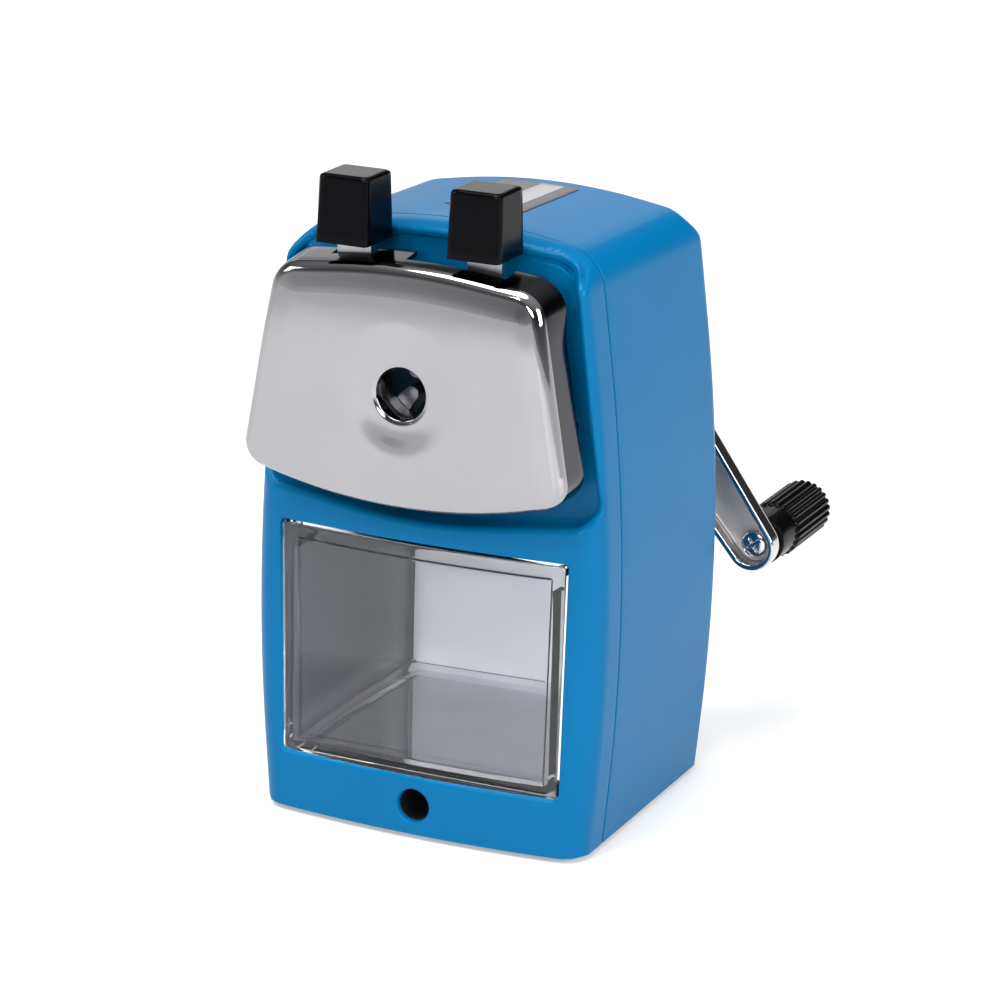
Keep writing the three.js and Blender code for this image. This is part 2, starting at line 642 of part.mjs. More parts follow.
class Helix extends THREE.Curve {
  constructor(radius, length, turns) {
    super();
    Object.assign(this, { radius, length, turns });
  }

  getPoint(t, target = new THREE.Vector3()) {
    const angle = 2 * Math.PI * this.turns * t;
    return target.set(this.radius * Math.cos(angle), this.length * t, this.radius * Math.sin(angle));
  }
}

// A coil spring along local +Y, from y = 0 to y = length.
function coilSpring(radius, wire, length, turns) {
  const section = new THREE.Shape();
  for (let i = 0; i < 5; i++) {
    const angle = 2 * Math.PI * i / 5;
    const point = [wire * Math.cos(angle), wire * Math.sin(angle)];
    if (i === 0) section.moveTo(...point);
    else section.lineTo(...point);
  }
  section.closePath();
  const extrudePath = new Helix(radius, length - 2 * wire, turns);
  const coil = new THREE.ExtrudeGeometry(section, { steps: turns * 9, bevelEnabled: false, extrudePath });
  return coil.translate(0, wire, 0);
}

// ---------------------------------------------------------------- crank
const ARM_WEB = 1.2;

function crankArm() {
  const outline = (inset) => {
    const shape = new THREE.Shape();
    shape.absarc(0, 0, ARM_HUB_RADIUS - inset, 0, Math.PI, false);
    shape.absarc(0, -CRANK_LENGTH, ARM_TIP_RADIUS - inset, Math.PI, 2 * Math.PI, false);
    shape.closePath();
    return shape;
  };
  const rim = 1.1;
  const arm = solid(alongY(outline(0), ARM_RIM_Y, ARM_BACK_Y, { curveSegments: 8 }));
  const channel = solid(alongY(outline(rim), ARM_RIM_Y - 2, ARM_BACK_Y - ARM_WEB, { curveSegments: 8 }));
  const shaftHole = disc(3.1, 70, 80, 0, 0);
  const screwHole = disc(1.7, 70, 80, 0, -CRANK_LENGTH, 16);
  return cut(arm, channel, shaftHole, screwHole);
}

function gripScrew() {
  const headFront = 73.9;
  const headBack = ARM_BACK_Y - ARM_WEB - 0.1;
  const profile = [
    [0, headFront],
    [1.6, headFront],
    [2.5, headFront + 0.6],
    [2.5, headBack],
    [1.5, headBack],
    [1.5, GRIP_END_Y - 1.8],
    [0, GRIP_END_Y - 1.8],
  ];
  const crossDepth = headFront + 0.6;
  return cut(
    turned(profile, 0, 0, 20),
    box(-1.5, 1.5, 70, crossDepth, -0.3, 0.3),
    box(-0.3, 0.3, 70, crossDepth, -1.5, 1.5),
  );
}

function grip() {
  const start = ARM_BACK_Y + GAP + 0.1;
  const ribStart = start + 7;
  const ribs = gearShape(24, GRIP_RADIUS - 0.35, GRIP_RADIUS, 0.62, 0.3, 0);
  const sleeve = solid(alongY(ribs, ribStart, GRIP_END_Y));
  const collar = disc(4.9, start, ribStart + 1, 0, 0, 32);
  return cut(sleeve.add(collar), disc(1.6, 70, 120, 0, 0, 16), disc(3.4, GRIP_END_Y - 3.4, 120, 0, 0));
}

function hexNut(acrossFlats, bore, y0, y1, boreEnd = y1 + 1) {
  const shape = new THREE.Shape();
  const radius = acrossFlats / Math.sqrt(3);
  for (let i = 0; i < 6; i++) {
    const angle = Math.PI * i / 3;
    if (i === 0) shape.moveTo(radius, 0);
    else shape.lineTo(radius * Math.cos(angle), radius * Math.sin(angle));
  }
  shape.closePath();
  const profile = [
    [0, y0], [radius * 0.9, y0], [radius, y0 + 0.6], [radius, y1 - 0.6], [radius * 0.9, y1], [0, y1]];
  const chamfer = turned(profile, 0, 0, 24);
  return solid(alongY(shape, y0, y1)).intersect(chamfer).subtract(disc(bore, y0 - 1, boreEnd, 0, 0));
}

function rearBush() {
  const bore = 3.0 + RUNNING;
  const profile = [
    [bore, 57.3],
    [9.0, 57.3],
    [9.0, 58.5],
    [5.9, 58.5],
    [5.9, 65.6],
    [5.5, 66.0],
    [bore, 66.0],
    [bore, 57.3],
  ];
  return turned(profile, 0, 0, 32);
}

// ---------------------------------------------------------------- assembly
const model = new THREE.Group();
model.position.y = -BODY_DEPTH / 2;

function place(name, piece, material, parent = model) {
  const geometry = piece.isBufferGeometry ? piece : geometryOf(piece);
  const mesh = new THREE.Mesh(geometry, material.clone());
  mesh.name = name;
  parent.add(mesh);
  return mesh;
}

function groupAt(x, y, z, parent = model) {
  const group = new THREE.Group();
  group.position.set(x, y, z);
  parent.add(group);
  return group;
}

place('rear_shell', rearShell(), BLUE_PAINT);
place('front_shell', frontShell(), BLUE_PAINT);
place('top_label', topLabel(), LABEL_GREY);
place('base_plate', basePlate(), STEEL);
place('base_pad', basePad(), DARK_RUBBER);
BASE_SCREWS.forEach(([x, y], i) => {
  const screw = place(`base_screw_${i + 1}`, panScrew(1.5, 3.9, 2.8, 1.0), STEEL);
  screw.position.set(x, y, PAD_TOP + GAP - 0.1);
  screw.rotation.x = Math.PI;
});
place('drawer_bay', drawerBay(), STEEL);
place('clamp_socket', clampSocket(), STEEL);

place('frame_plate', framePlate(), STEEL);
[['left', -1], ['right', 1]].forEach(([side, sign]) => {
  const screw = place(`frame_screw_${side}`, panScrew(1.5, 2.9, 2.6, 1.2), STEEL);
  screw.position.set(sign * 30.4, 21, 52);
  screw.rotation.y = sign * Math.PI / 2;
  place(`guide_bush_${side}`, guideBush(sign * ROD_X), BRASS);
});
place('ring_gear', ringGear(), HARD_STEEL);
GEAR_SCREW_ANGLES.forEach((angle, i) => {
  const screw = place(`gear_screw_${i + 1}`, panScrew(1.25, 8.0, 2.3, 1.1), STEEL);
  screw.position.set(
    GEAR_SCREW_RADIUS * Math.cos(angle), FRAME_Y - 0.1, PENCIL_Z + GEAR_SCREW_RADIUS * Math.sin(angle));
  screw.rotation.x = Math.PI / 2;
});

place('faceplate', faceplate(), CHROME);
place('carriage_plate', carriagePlate(), STEEL);
place('chuck_base', chuckBase(), STEEL);
CHUCK_PIN_ANGLES.forEach((angle, i) => {
  place(`jaw_pin_${i + 1}`, jawPin(angle), HARD_STEEL);
  place(`chuck_jaw_${i + 1}`, jaw(angle), HARD_STEEL);
});
place('chuck_lever', chuckLever(), STEEL);
const capX = (TAB.inner + TAB.outer) / 2;
place('finger_cap_left', fingerCap(-capX), BLACK_PLASTIC);
place('finger_cap_right', fingerCap(capX), BLACK_PLASTIC);
[['left', -1], ['right', 1]].forEach(([side, sign]) => {
  place(`guide_rod_${side}`, guideRod(sign * ROD_X), CHROME);
  place(`rod_stop_${side}`, rodStop(sign * ROD_X), STEEL);
  const seat = groupAt(sign * ROD_X, 19.9, ROD_Z);
  place(`return_spring_${side}`, coilSpring(3.1, 0.35, 32.8, 8), SPRING_STEEL, seat);
});
const leverSpring = groupAt(0.4, -0.8, 103.9);
leverSpring.rotation.z = -Math.PI / 2;
place('lever_spring', coilSpring(1.2, 0.22, 8.4, 6), SPRING_STEEL, leverSpring);

place('cutter_carrier', cutterCarrier(), HARD_STEEL);
const cutterAxis = groupAt(0, APEX_Y, PENCIL_Z);
cutterAxis.rotation.x = -CUTTER_TILT;
place('cutter_pinion', cutterPinion(), HARD_STEEL, cutterAxis);
place('helical_cutter', helicalCutter(), HARD_STEEL, cutterAxis);
place('cutter_spindle', disc(SPINDLE_RADIUS, ...SPINDLE_SPAN, 0, 0, 20), STEEL, cutterAxis);

const shaftAxis = groupAt(0, 0, PENCIL_Z);
place('rear_bush', rearBush(), BRASS, shaftAxis);
place('bearing_nut', hexNut(16, 6.1, BODY_DEPTH + GAP, BODY_DEPTH + 3.3), STEEL, shaftAxis);
place('crank_shaft', disc(3.0, 55.9, 79.2, 0, 0), STEEL, shaftAxis);
place('arm_collar', ring(3.1, 5.2, 66.4, 75.0, 0, 0), STEEL, shaftAxis);
place('arm_nut', hexNut(10, 3.1, 76.8, 80.6, 79.5), CHROME, shaftAxis);

const crank = groupAt(0, 0, 0, shaftAxis);
crank.rotation.y = -CRANK_ANGLE;
place('crank_arm', crankArm(), CHROME, crank);
const gripAxis = groupAt(0, 0, -CRANK_LENGTH, crank);
place('grip_screw', gripScrew(), STEEL, gripAxis);
place('grip_retainer', ring(1.6, 3.0, GRIP_END_Y - 3.1, GRIP_END_Y - 2.2, 0, 0), STEEL, gripAxis);
place('grip', grip(), BLACK_PLASTIC, gripAxis);
place('grip_cap', disc(3.2, GRIP_END_Y - 1.4, GRIP_END_Y - 0.2, 0, 0), BLACK_PLASTIC, gripAxis);

place('drawer', drawer(), CLEAR_PLASTIC);

export default model;
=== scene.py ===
import json
import math

import bmesh
import bpy
import numpy as np
from mathutils import Matrix, Vector
from mathutils.geometry import delaunay_2d_cdt


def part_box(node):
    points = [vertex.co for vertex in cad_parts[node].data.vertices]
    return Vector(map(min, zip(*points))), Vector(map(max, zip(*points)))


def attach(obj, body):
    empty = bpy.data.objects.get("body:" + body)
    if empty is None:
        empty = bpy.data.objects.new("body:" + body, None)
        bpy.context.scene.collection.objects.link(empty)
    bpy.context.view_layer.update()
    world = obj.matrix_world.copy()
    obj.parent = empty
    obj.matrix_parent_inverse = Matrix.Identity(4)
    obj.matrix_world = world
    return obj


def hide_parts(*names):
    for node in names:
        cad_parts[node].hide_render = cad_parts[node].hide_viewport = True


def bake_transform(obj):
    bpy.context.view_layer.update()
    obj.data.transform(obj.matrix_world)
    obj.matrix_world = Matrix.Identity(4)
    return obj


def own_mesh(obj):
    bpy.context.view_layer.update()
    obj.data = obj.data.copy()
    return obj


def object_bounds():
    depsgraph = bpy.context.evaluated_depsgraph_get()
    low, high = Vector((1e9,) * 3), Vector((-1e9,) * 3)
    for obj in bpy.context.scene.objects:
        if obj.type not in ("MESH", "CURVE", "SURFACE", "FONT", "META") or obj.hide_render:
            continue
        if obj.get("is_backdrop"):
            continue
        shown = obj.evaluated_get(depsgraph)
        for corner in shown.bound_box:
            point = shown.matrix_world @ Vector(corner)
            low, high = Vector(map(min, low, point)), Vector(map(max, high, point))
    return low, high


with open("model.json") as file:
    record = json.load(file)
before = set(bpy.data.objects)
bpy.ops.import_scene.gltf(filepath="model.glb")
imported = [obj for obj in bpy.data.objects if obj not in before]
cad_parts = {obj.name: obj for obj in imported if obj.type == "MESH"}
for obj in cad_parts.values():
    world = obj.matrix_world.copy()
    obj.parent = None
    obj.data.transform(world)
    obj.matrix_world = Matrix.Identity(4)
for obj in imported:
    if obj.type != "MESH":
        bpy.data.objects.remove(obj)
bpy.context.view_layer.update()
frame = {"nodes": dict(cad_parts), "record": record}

# Shapes are worked out in millimetres. y runs from the front panel's crest (0) to the rear wall (60).
FRONT_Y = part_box("front_shell")[0].y * 1000
PENCIL_Z = (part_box("crank_shaft")[0].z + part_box("crank_shaft")[1].z) * 500
SEAM = 12.2  # y where the front shell meets the rear shell
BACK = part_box("rear_shell")[1].y * 1000 - FRONT_Y
FLOOR_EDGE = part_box("rear_shell")[0].z * 1000
FALL = 0.00025  # the top's fall towards the rear, as a share of its height per millimetre
SHEET = 1.1  # thickness of the shells
ROD_X, ROD_Z = 22.8, 78.0
CLAMP_Z, CLAMP_RADIUS = 6.35, 3.05
QUARTER = math.pi / 2


# ------------------------------------------------------------------ outlines
def unit(v):
    return v / np.maximum(np.linalg.norm(v, axis=-1, keepdims=True), 1e-12)


def outline(corners, step=1.4, arc_steps=9):
    """Closed anticlockwise outline through [x, z, radius] corners: points and inward normals."""
    points, normals, spans = [], [], []
    count = len(corners)
    for i, (x, z, radius) in enumerate(corners):
        c = np.array([x, z], float)
        a = unit(np.array(corners[i - 1][:2], float) - c)
        b = unit(np.array(corners[(i + 1) % count][:2], float) - c)
        if radius == 0:
            spans.append(([c], [unit(a + b)]))
            continue
        half = math.acos(np.clip(a @ b, -1, 1)) / 2
        start = c + a * radius / math.tan(half)
        centre = c + unit(a + b) * radius / math.sin(half)
        sweep = math.pi - 2 * half
        turn = 1 if a[1] * b[0] > a[0] * b[1] else -1
        steps = max(arc_steps, int(radius * sweep / step))
        arm = start - centre
        ring, inwards = [], []
        for t in turn * sweep * np.arange(steps + 1) / steps:
            cos, sin = math.cos(t), math.sin(t)
            r = np.array([arm[0] * cos - arm[1] * sin, arm[0] * sin + arm[1] * cos])
            ring.append(centre + r)
            inwards.append(-turn * r / radius)
        spans.append((ring, inwards))
    for i, (ring, inwards) in enumerate(spans):
        points += ring
        normals += inwards
        run = spans[(i + 1) % count][0][0] - ring[-1]
        gap = np.linalg.norm(run)
        pieces = int(gap / step)
        inward = np.array([-run[1], run[0]]) / max(gap, 1e-9)
        for k in range(1, pieces):
            points.append(ring[-1] + run * k / pieces)
            normals.append(inward)
    points, normals = np.array(points), np.array(normals)
    keep = np.linalg.norm(points - np.roll(points, 1, 0), axis=1) > 1e-3
    return points[keep], normals[keep]


def mirrored(right, top=(), bottom=()):
    return list(right) + list(top) + [[-x, z, r] for x, z, r in reversed(right)] + list(bottom)


BODY = outline(mirrored([[30.7, -10, 0], [35.8, 50, 350], [27.9, 107.85, 8]], [[0, 112.45, 109]]))
RECESS = outline(mirrored([[31.9, 62.0, 4], [26.2, 106.2, 6.5]], [[0, 109.3, 118]], [[0, 58.6, 100]]))
PLATE = outline(mirrored([[31.2, 68.2, 4.5], [25.0, 104.2, 5.5]], [[0, 107.0, 118]], [[0, 60.6, 100]]))
WINDOW = outline(mirrored([[27.2, 11.6, 0.8], [27.8, 55.1, 0.8]]))


def circle(x, z, radius, count=48):
    t = np.arange(count) * 2 * math.pi / count
    spokes = np.stack([np.cos(t), np.sin(t)], 1)
    return spokes * radius + np.array([x, z]), -spokes


def offset(line, distance):
    return line[0] + line[1] * distance


def opened(line, level):
    """The part of a closed outline above level, starting at its right-hand end, with end points on the level."""
    points, normals = line
    count = len(points)
    start = next(i for i in range(count) if points[i - 1][1] < level <= points[i][1])
    above = []
    for k in range(start, start + count):
        if points[k % count][1] < level:
            break
        above.append(k % count)

    def crossing(low, high):
        t = (level - points[low][1]) / (points[high][1] - points[low][1])
        return points[low] + (points[high] - points[low]) * t

    first = crossing((start - 1) % count, start)
    last = crossing((above[-1] + 1) % count, above[-1])
    p = np.vstack([[first], points[above], [last]])
    n = normals[[above[0]] + above + [above[-1]]]
    keep = np.r_[True, np.linalg.norm(np.diff(p, axis=0), axis=1) > 1e-3]
    return p[keep], n[keep]


CHUNK = 1000  # points handled at a time, to keep the arrays small


def distance_to(points, line, closed=True):
    """Distance from each point to a polyline, and the interpolated inward normal there."""
    a, na = line
    b, nb = np.roll(a, -1, 0), np.roll(na, -1, 0)
    if not closed:
        a, b, na, nb = a[:-1], b[:-1], na[:-1], nb[:-1]
    ab = b - a
    length2 = (ab ** 2).sum(1)
    out, normal = np.empty(len(points)), np.empty((len(points), 2))
    for s in range(0, len(points), CHUNK):
        q = points[s:s + CHUNK]
        t = np.clip(((q[:, None] - a[None]) * ab[None]).sum(2) / length2[None], 0, 1)
        d2 = ((q[:, None] - (a[None] + t[..., None] * ab[None])) ** 2).sum(2)
        best = d2.argmin(1)
        rows = np.arange(len(q))
        out[s:s + CHUNK] = np.sqrt(d2[rows, best])
        t = t[rows, best][:, None]
        normal[s:s + CHUNK] = na[best] * (1 - t) + nb[best] * t
    return out, normal


def inside(points, loop):
    x, z = points[:, 0], points[:, 1]
    hit = np.zeros(len(points), bool)
    for (x0, z0), (x1, z1) in zip(loop, np.roll(loop, -1, 0)):
        if z0 == z1:
            continue
        crosses = (z0 > z) != (z1 > z)
        hit ^= crosses & (x < (x1 - x0) * (z - z0) / (z1 - z0) + x0)
    return hit


# ------------------------------------------------------------------ surfaces
def fill(outer, holes, spacing, free=()):
    """Triangulates the region between closed loops, with a lattice of points and any free ones inside."""
    loops = [outer] + list(holes)
    low, high = outer.min(0), outer.max(0)
    lattice, row = [], 0
    z = low[1] + spacing / 2
    while z < high[1]:
        x = low[0] + spacing / 2 * (row % 2 + 0.5)
        while x < high[0]:
            lattice.append([x, z])
            x += spacing
        z += spacing * 0.866
        row += 1
    lattice = np.array(lattice)
    free = np.vstack(free) if len(free) else np.empty((0, 2))

    def region(q):
        keep = inside(q, outer)
        for hole in holes:
            keep &= ~inside(q, hole)
        return keep

    def clear(q, room):
        keep = region(q)
        for loop in loops:
            keep &= distance_to(q, (loop, loop))[0] > room
        return q[keep]

    if len(free):
        free = clear(free, 0.16)
        lattice = lattice[distance_cloud(lattice, free) > spacing * 0.55]
    lattice = clear(lattice, spacing * 0.5)
    points = np.vstack(loops + [free, lattice])
    edges, start = [], 0
    for loop in loops:
        edges += [(start + i, start + (i + 1) % len(loop)) for i in range(len(loop))]
        start += len(loop)
    found, _, faces, _, _, _ = delaunay_2d_cdt([Vector(p) for p in points], edges, [], 0, 1e-6)
    found = np.array([tuple(p) for p in found])
    faces = np.array([f for f in faces if len(f) == 3])
    middle = found[faces].mean(1)
    return found, faces[region(middle)]


def distance_cloud(points, cloud):
    parts = [points[s:s + CHUNK] for s in range(0, len(points), CHUNK)]
    return np.concatenate([np.sqrt(((q[:, None] - cloud[None]) ** 2).sum(2).min(1)) for q in parts])


def gradient(height, points, e=0.02):
    along = (height(points + [e, 0]) - height(points - [e, 0])) / (2 * e)
    across = (height(points + [0, e]) - height(points - [0, e])) / (2 * e)
    return along, across


def height_patch(points, faces, height, facing):
    """A patch whose y is height(points); facing is -1 for a surface seen from the front."""
    dx, dz = gradient(height, points)
    normals = unit(np.stack([-dx, np.ones(len(points)), -dz], 1) * facing)
    return xyz(points, height(points)), faces, normals


def flat_patch(loop, spacing, y, facing):
    """A flat end inside a loop."""
    points, faces = fill(loop, [], spacing)
    return height_patch(points, faces, lambda q: np.full(len(q), y), facing)


def strip(grid, normals, closed=True):
    """Triangles that join rows of points."""
    rows, count = grid.shape[:2]
    faces = []
    for i in range(rows - 1):
        for j in range(count if closed else count - 1):
            a, b = i * count + j, i * count + (j + 1) % count
            faces += [(a, b, b + count), (a, b + count, a + count)]
    return grid.reshape(-1, 3), np.array(faces), normals.reshape(-1, 3)


def slopes(grid, closed=True):
    """Unit normals of a grid of points, from the directions along its rows and across them."""
    along = (np.roll(grid, -1, 1) - np.roll(grid, 1, 1)) if closed else np.gradient(grid, axis=1)
    return unit(np.cross(along, np.gradient(grid, axis=0)))


def grid_patch(rows, closed, away):
    """A patch through rows of points, with normals that turn away from a point."""
    grid = np.array(rows)
    normals = slopes(grid, closed)
    if (normals * (grid - np.array(away))).sum() < 0:
        normals = -normals
    return strip(grid, normals, closed)


def fan(ring, middle, normal):
    """A flat end that joins a ring of points to its middle."""
    count = len(ring)
    faces = np.array([(i, (i + 1) % count, count) for i in range(count)])
    return np.vstack([ring, [middle]]), faces, np.tile(normal, (count + 1, 1))


def weld(patches):
    """Joins patches into one mesh with shared points, averaged normals and consistent faces."""
    verts = np.vstack([p[0] for p in patches])
    normals = np.vstack([p[2] for p in patches])
    faces, start = [], 0
    for p in patches:
        faces.append(p[1] + start)
        start += len(p[0])
    faces = np.vstack(faces)
    keys = np.round(verts / 2e-3).astype(np.int64)
    _, first, inverse = np.unique(keys, axis=0, return_index=True, return_inverse=True)
    inverse = inverse.reshape(-1)
    summed = np.zeros((len(first), 3))
    np.add.at(summed, inverse, normals)
    summed = unit(summed)
    faces = inverse[faces]
    good = (faces[:, 0] != faces[:, 1]) & (faces[:, 1] != faces[:, 2]) & (faces[:, 2] != faces[:, 0])
    faces = faces[good]
    verts = verts[first]
    a, b, c = (verts[faces[:, i]] for i in range(3))
    geometric = np.cross(b - a, c - a)
    area = np.linalg.norm(geometric, axis=1) > 1e-9
    faces, geometric = faces[area], geometric[area]
    wrong = (geometric * summed[faces].sum(1)).sum(1) < 0
    faces[wrong] = faces[wrong][:, ::-1]
    return verts, faces, summed


def fallen(verts):
    """The body's top falls a little towards the rear."""
    out = verts.copy()
    out[:, 2] *= 1 - FALL * (out[:, 1] - SEAM)
    return out


def to_metres(verts):
    return (verts + [0, FRONT_Y, 0]) / 1000


def add(name, data):
    obj = bpy.data.objects.new(name, data)
    bpy.context.scene.collection.objects.link(obj)
    return obj


def solid_piece(name, patches):
    return make_mesh(name, *weld(patches))


def make_mesh(name, verts, faces, normals):
    mesh = bpy.data.meshes.new(name)
    mesh.from_pydata([tuple(v) for v in to_metres(verts)], [], [tuple(int(i) for i in f) for f in faces])
    mesh.validate(clean_customdata=False)
    mesh.polygons.foreach_set("use_smooth", [True] * len(mesh.polygons))
    mesh.normals_split_custom_set_from_vertices([tuple(n) for n in normals])
    return add(name, mesh)


def skin(name, patches, thickness, deform=lambda verts: verts):
    """A sheet-metal piece: the patches welded together, an inner face at thickness, and rims round every edge."""
    verts, faces, normals = weld(patches)
    inner = deform(verts - normals * thickness)
    verts = deform(verts)
    count = len(verts)
    edges = {}
    for f in faces:
        for a, b in ((int(f[0]), int(f[1])), (int(f[1]), int(f[2])), (int(f[2]), int(f[0]))):
            if (b, a) in edges:
                del edges[(b, a)]
            else:
                edges[(a, b)] = True
    rim = {}
    for a, b in edges:
        n = unit(-np.cross(verts[b] - verts[a], inner[a] - verts[a]))
        for v in (a, b):
            rim[v] = rim.get(v, 0) + n
    first = {v: 2 * (count + i) for i, v in enumerate(rim)}
    rim_verts = [point for v in rim for point in (verts[v], inner[v])]
    rim_normals = [unit(rim[v]) for v in rim for _ in range(2)]
    rim_faces = []
    for a, b in edges:
        ia, ib = first[a], first[b]
        rim_faces += [(ib, ia, ia + 1), (ib, ia + 1, ib + 1)]
    return make_mesh(name, np.vstack([verts, inner, rim_verts]), np.vstack([faces, faces[:, ::-1] + count, rim_faces]),
                     np.vstack([normals, -normals, rim_normals]))


def smooth(t):
    t = np.clip(t, 0, 1)
    return t * t * (3 - 2 * t)


# ------------------------------------------------------------------ body shells
def bow(x):
    return 213 - np.sqrt(213 ** 2 - x ** 2)


BODY_OPEN = opened(BODY, FLOOR_EDGE)
FACE_INSET = 0.1  # where the shells' flat faces give way to the rounded edge's last step
SEAM_GAP = 0.15


def edge_drop(v, radius):
    inner = np.clip(radius - v, 0, radius)
    return radius - np.sqrt(np.maximum(radius ** 2 - inner ** 2, 0))


def front_radius(normal):
    return 4.4 + 6.6 * smooth((-normal[:, 1] - 0.2) / 0.65)


def rear_radius(normal):
    return 5.0 + 3.5 * smooth((-normal[:, 1] - 0.2) / 0.65)


def body_depth(q):
    """How far each point lies inside the body's outline, and the way inwards there."""
    v, normal = distance_to(q, BODY_OPEN, closed=False)
    return np.where(inside(q, BODY[0]), v, 0), normal


def front_height(q):
    v, normal = body_depth(q)
    return bow(q[:, 0]) + edge_drop(v, front_radius(normal))


def rear_height(q):
    v, normal = body_depth(q)
    return BACK - edge_drop(v, rear_radius(normal))


def xyz(points, y):
    y = np.broadcast_to(y, (len(points),))
    return np.stack([points[:, 0], y, points[:, 1]], 1)


def moved_in(v):
    """The body's open outline moved in by v, no lower than its bottom edge."""
    points = offset(BODY_OPEN, v)
    return np.stack([points[:, 0], np.maximum(points[:, 1], FLOOR_EDGE)], 1)


def face_loop():
    """The body's outline just inside its edge, closed along the bottom."""
    side = moved_in(FACE_INSET)
    right, left = side[0], side[-1]
    count = int((right[0] - left[0]) / 1.6)
    bottom = np.stack([np.linspace(left[0], right[0], count)[1:-1], np.full(count - 2, FLOOR_EDGE)], 1)
    return np.vstack([side, bottom])


def edge_rings(*distances):
    """Rings of points that follow the rounded edge."""
    rings = [moved_in(v) for v in distances]
    return [r[r[:, 1] > FLOOR_EDGE + 0.2] for r in rings]


def lip(line, height, radius, depth, steps=5):
    """A rounded edge turning in to a short wall, round a hole in a face."""
    rows = []
    for k in range(steps + 1):
        s = radius * (1 - k / steps)
        p = offset(line, -s)
        base = height(offset(line, -radius))
        drop = radius - math.sqrt(max(radius ** 2 - (radius - s) ** 2, 0))
        rows.append(xyz(p, base + drop))
    rows.append(xyz(line[0], height(offset(line, -radius)) + depth))
    return rows


def front_shell():
    """The front panel with its recess, window and clamp hole, and the wall back to the seam."""
    rail, foot, floor_y = 1.2, 0.8, 7.0
    window_lip, clamp_lip = 0.55, 0.5
    recess_loop = offset(RECESS, -rail)
    clamp = circle(0, CLAMP_Z, CLAMP_RADIUS)
    holes = [recess_loop, offset(WINDOW, -window_lip), offset(clamp, -clamp_lip)]
    pts, tris = fill(face_loop(), holes, 2.0, edge_rings(0.25, 0.45, 0.75, 1.15, 1.7, 2.4, 3.3, 4.4, 5.6))
    patches = [height_patch(pts, tris, front_height, -1)]
    # outer ring back to the seam
    p, n = BODY_OPEN
    radius = front_radius(n)
    start = moved_in(FACE_INSET)
    end = SEAM - SEAM_GAP
    y0 = np.minimum(bow(p[:, 0]) + radius, end - 0.4)
    rows = [xyz(start, front_height(start)),
            xyz(moved_in(0.03), bow(p[:, 0]) + edge_drop(np.full(len(p), 0.03), radius)), xyz(p, y0)]
    rows += [xyz(p, y0 + (end - 0.25 - y0) * t) for t in (0.35, 0.7, 1.0)]
    rows += [xyz(moved_in(0.07), end - 0.07), xyz(moved_in(0.25), end), xyz(moved_in(1.15), end)]
    patches.append(grid_patch(rows, False, (0, 6, 55)))
    # recess rail, wall and floor
    base = front_height(recess_loop)
    depth = np.maximum(floor_y - base, 0.4)
    round_y = np.minimum(rail, 0.6 * depth)
    bottom_round = np.minimum(foot, depth - round_y)
    rows = []
    for a in QUARTER * np.arange(7) / 6:
        rows.append(xyz(offset(RECESS, -rail * (1 - math.sin(a))), base + round_y * (1 - math.cos(a))))
    for a in QUARTER * np.arange(6) / 5:
        rows.append(xyz(offset(RECESS, foot * (1 - math.cos(a))), base + depth - bottom_round * (1 - math.sin(a))))
    patches.append(grid_patch(rows, True, (0, 400, 84)))

    def floor_height(q):
        return np.full(len(q), floor_y)

    lips = [circle(0, PENCIL_Z, 17.5, 64)] + [circle(x, ROD_Z, 3.9, 32) for x in (-ROD_X, ROD_X)]
    pts, tris = fill(offset(RECESS, foot), [offset(hole, -0.3) for hole in lips], 3.0)
    patches.append(height_patch(pts, tris, floor_height, -1))
    for hole in lips:
        x, z = hole[0].mean(0)
        patches.append(grid_patch(lip(hole, floor_height, 0.3, 0.8, 3), True, (x, 400, z)))
    patches.append(grid_patch(lip(WINDOW, front_height, window_lip, 2.4), True, (0, 400, 33)))
    patches.append(grid_patch(lip(clamp, front_height, clamp_lip, 1.2), True, (0, 400, CLAMP_Z)))
    return skin("front_shell_skin", patches, SHEET, fallen)


def seam_lip():
    rows = [xyz(moved_in(1.5), y) for y in (8.8, 10.5, 12.2, 14.0, 15.6)]
    return skin("seam_lip", [grid_patch(rows, False, (0, 12, 55))], 0.85, fallen)


def rear_shell():
    hole = circle(0, PENCIL_Z, 6.2)
    rings = edge_rings(0.25, 0.45, 0.75, 1.15, 1.7, 2.4, 3.3, 4.4, 5.8, 7.2)
    pts, tris = fill(face_loop(), [offset(hole, -0.4)], 2.6, rings)
    patches = [height_patch(pts, tris, rear_height, 1)]
    p, n = BODY_OPEN
    radius = rear_radius(n)
    start = moved_in(FACE_INSET)
    y1 = BACK - radius
    begin = SEAM + SEAM_GAP
    rows = [xyz(start, rear_height(start)), xyz(moved_in(0.03), BACK - edge_drop(np.full(len(p), 0.03), radius))]
    rows += [xyz(p, y1 + (begin + 0.25 - y1) * t) for t in np.linspace(0, 1, 14)]
    rows += [xyz(moved_in(0.07), begin + 0.07), xyz(moved_in(0.25), begin), xyz(moved_in(1.1), begin)]
    patches.append(grid_patch(rows, False, (0, 36, 55)))
    wall = [r * [1, -1, 1] for r in lip(hole, lambda q: -rear_height(q), 0.4, 0.8, 3)]
    patches.append(grid_patch(wall, True, (0, -400, PENCIL_Z)))
    return skin("rear_shell_skin", patches, SHEET, fallen)


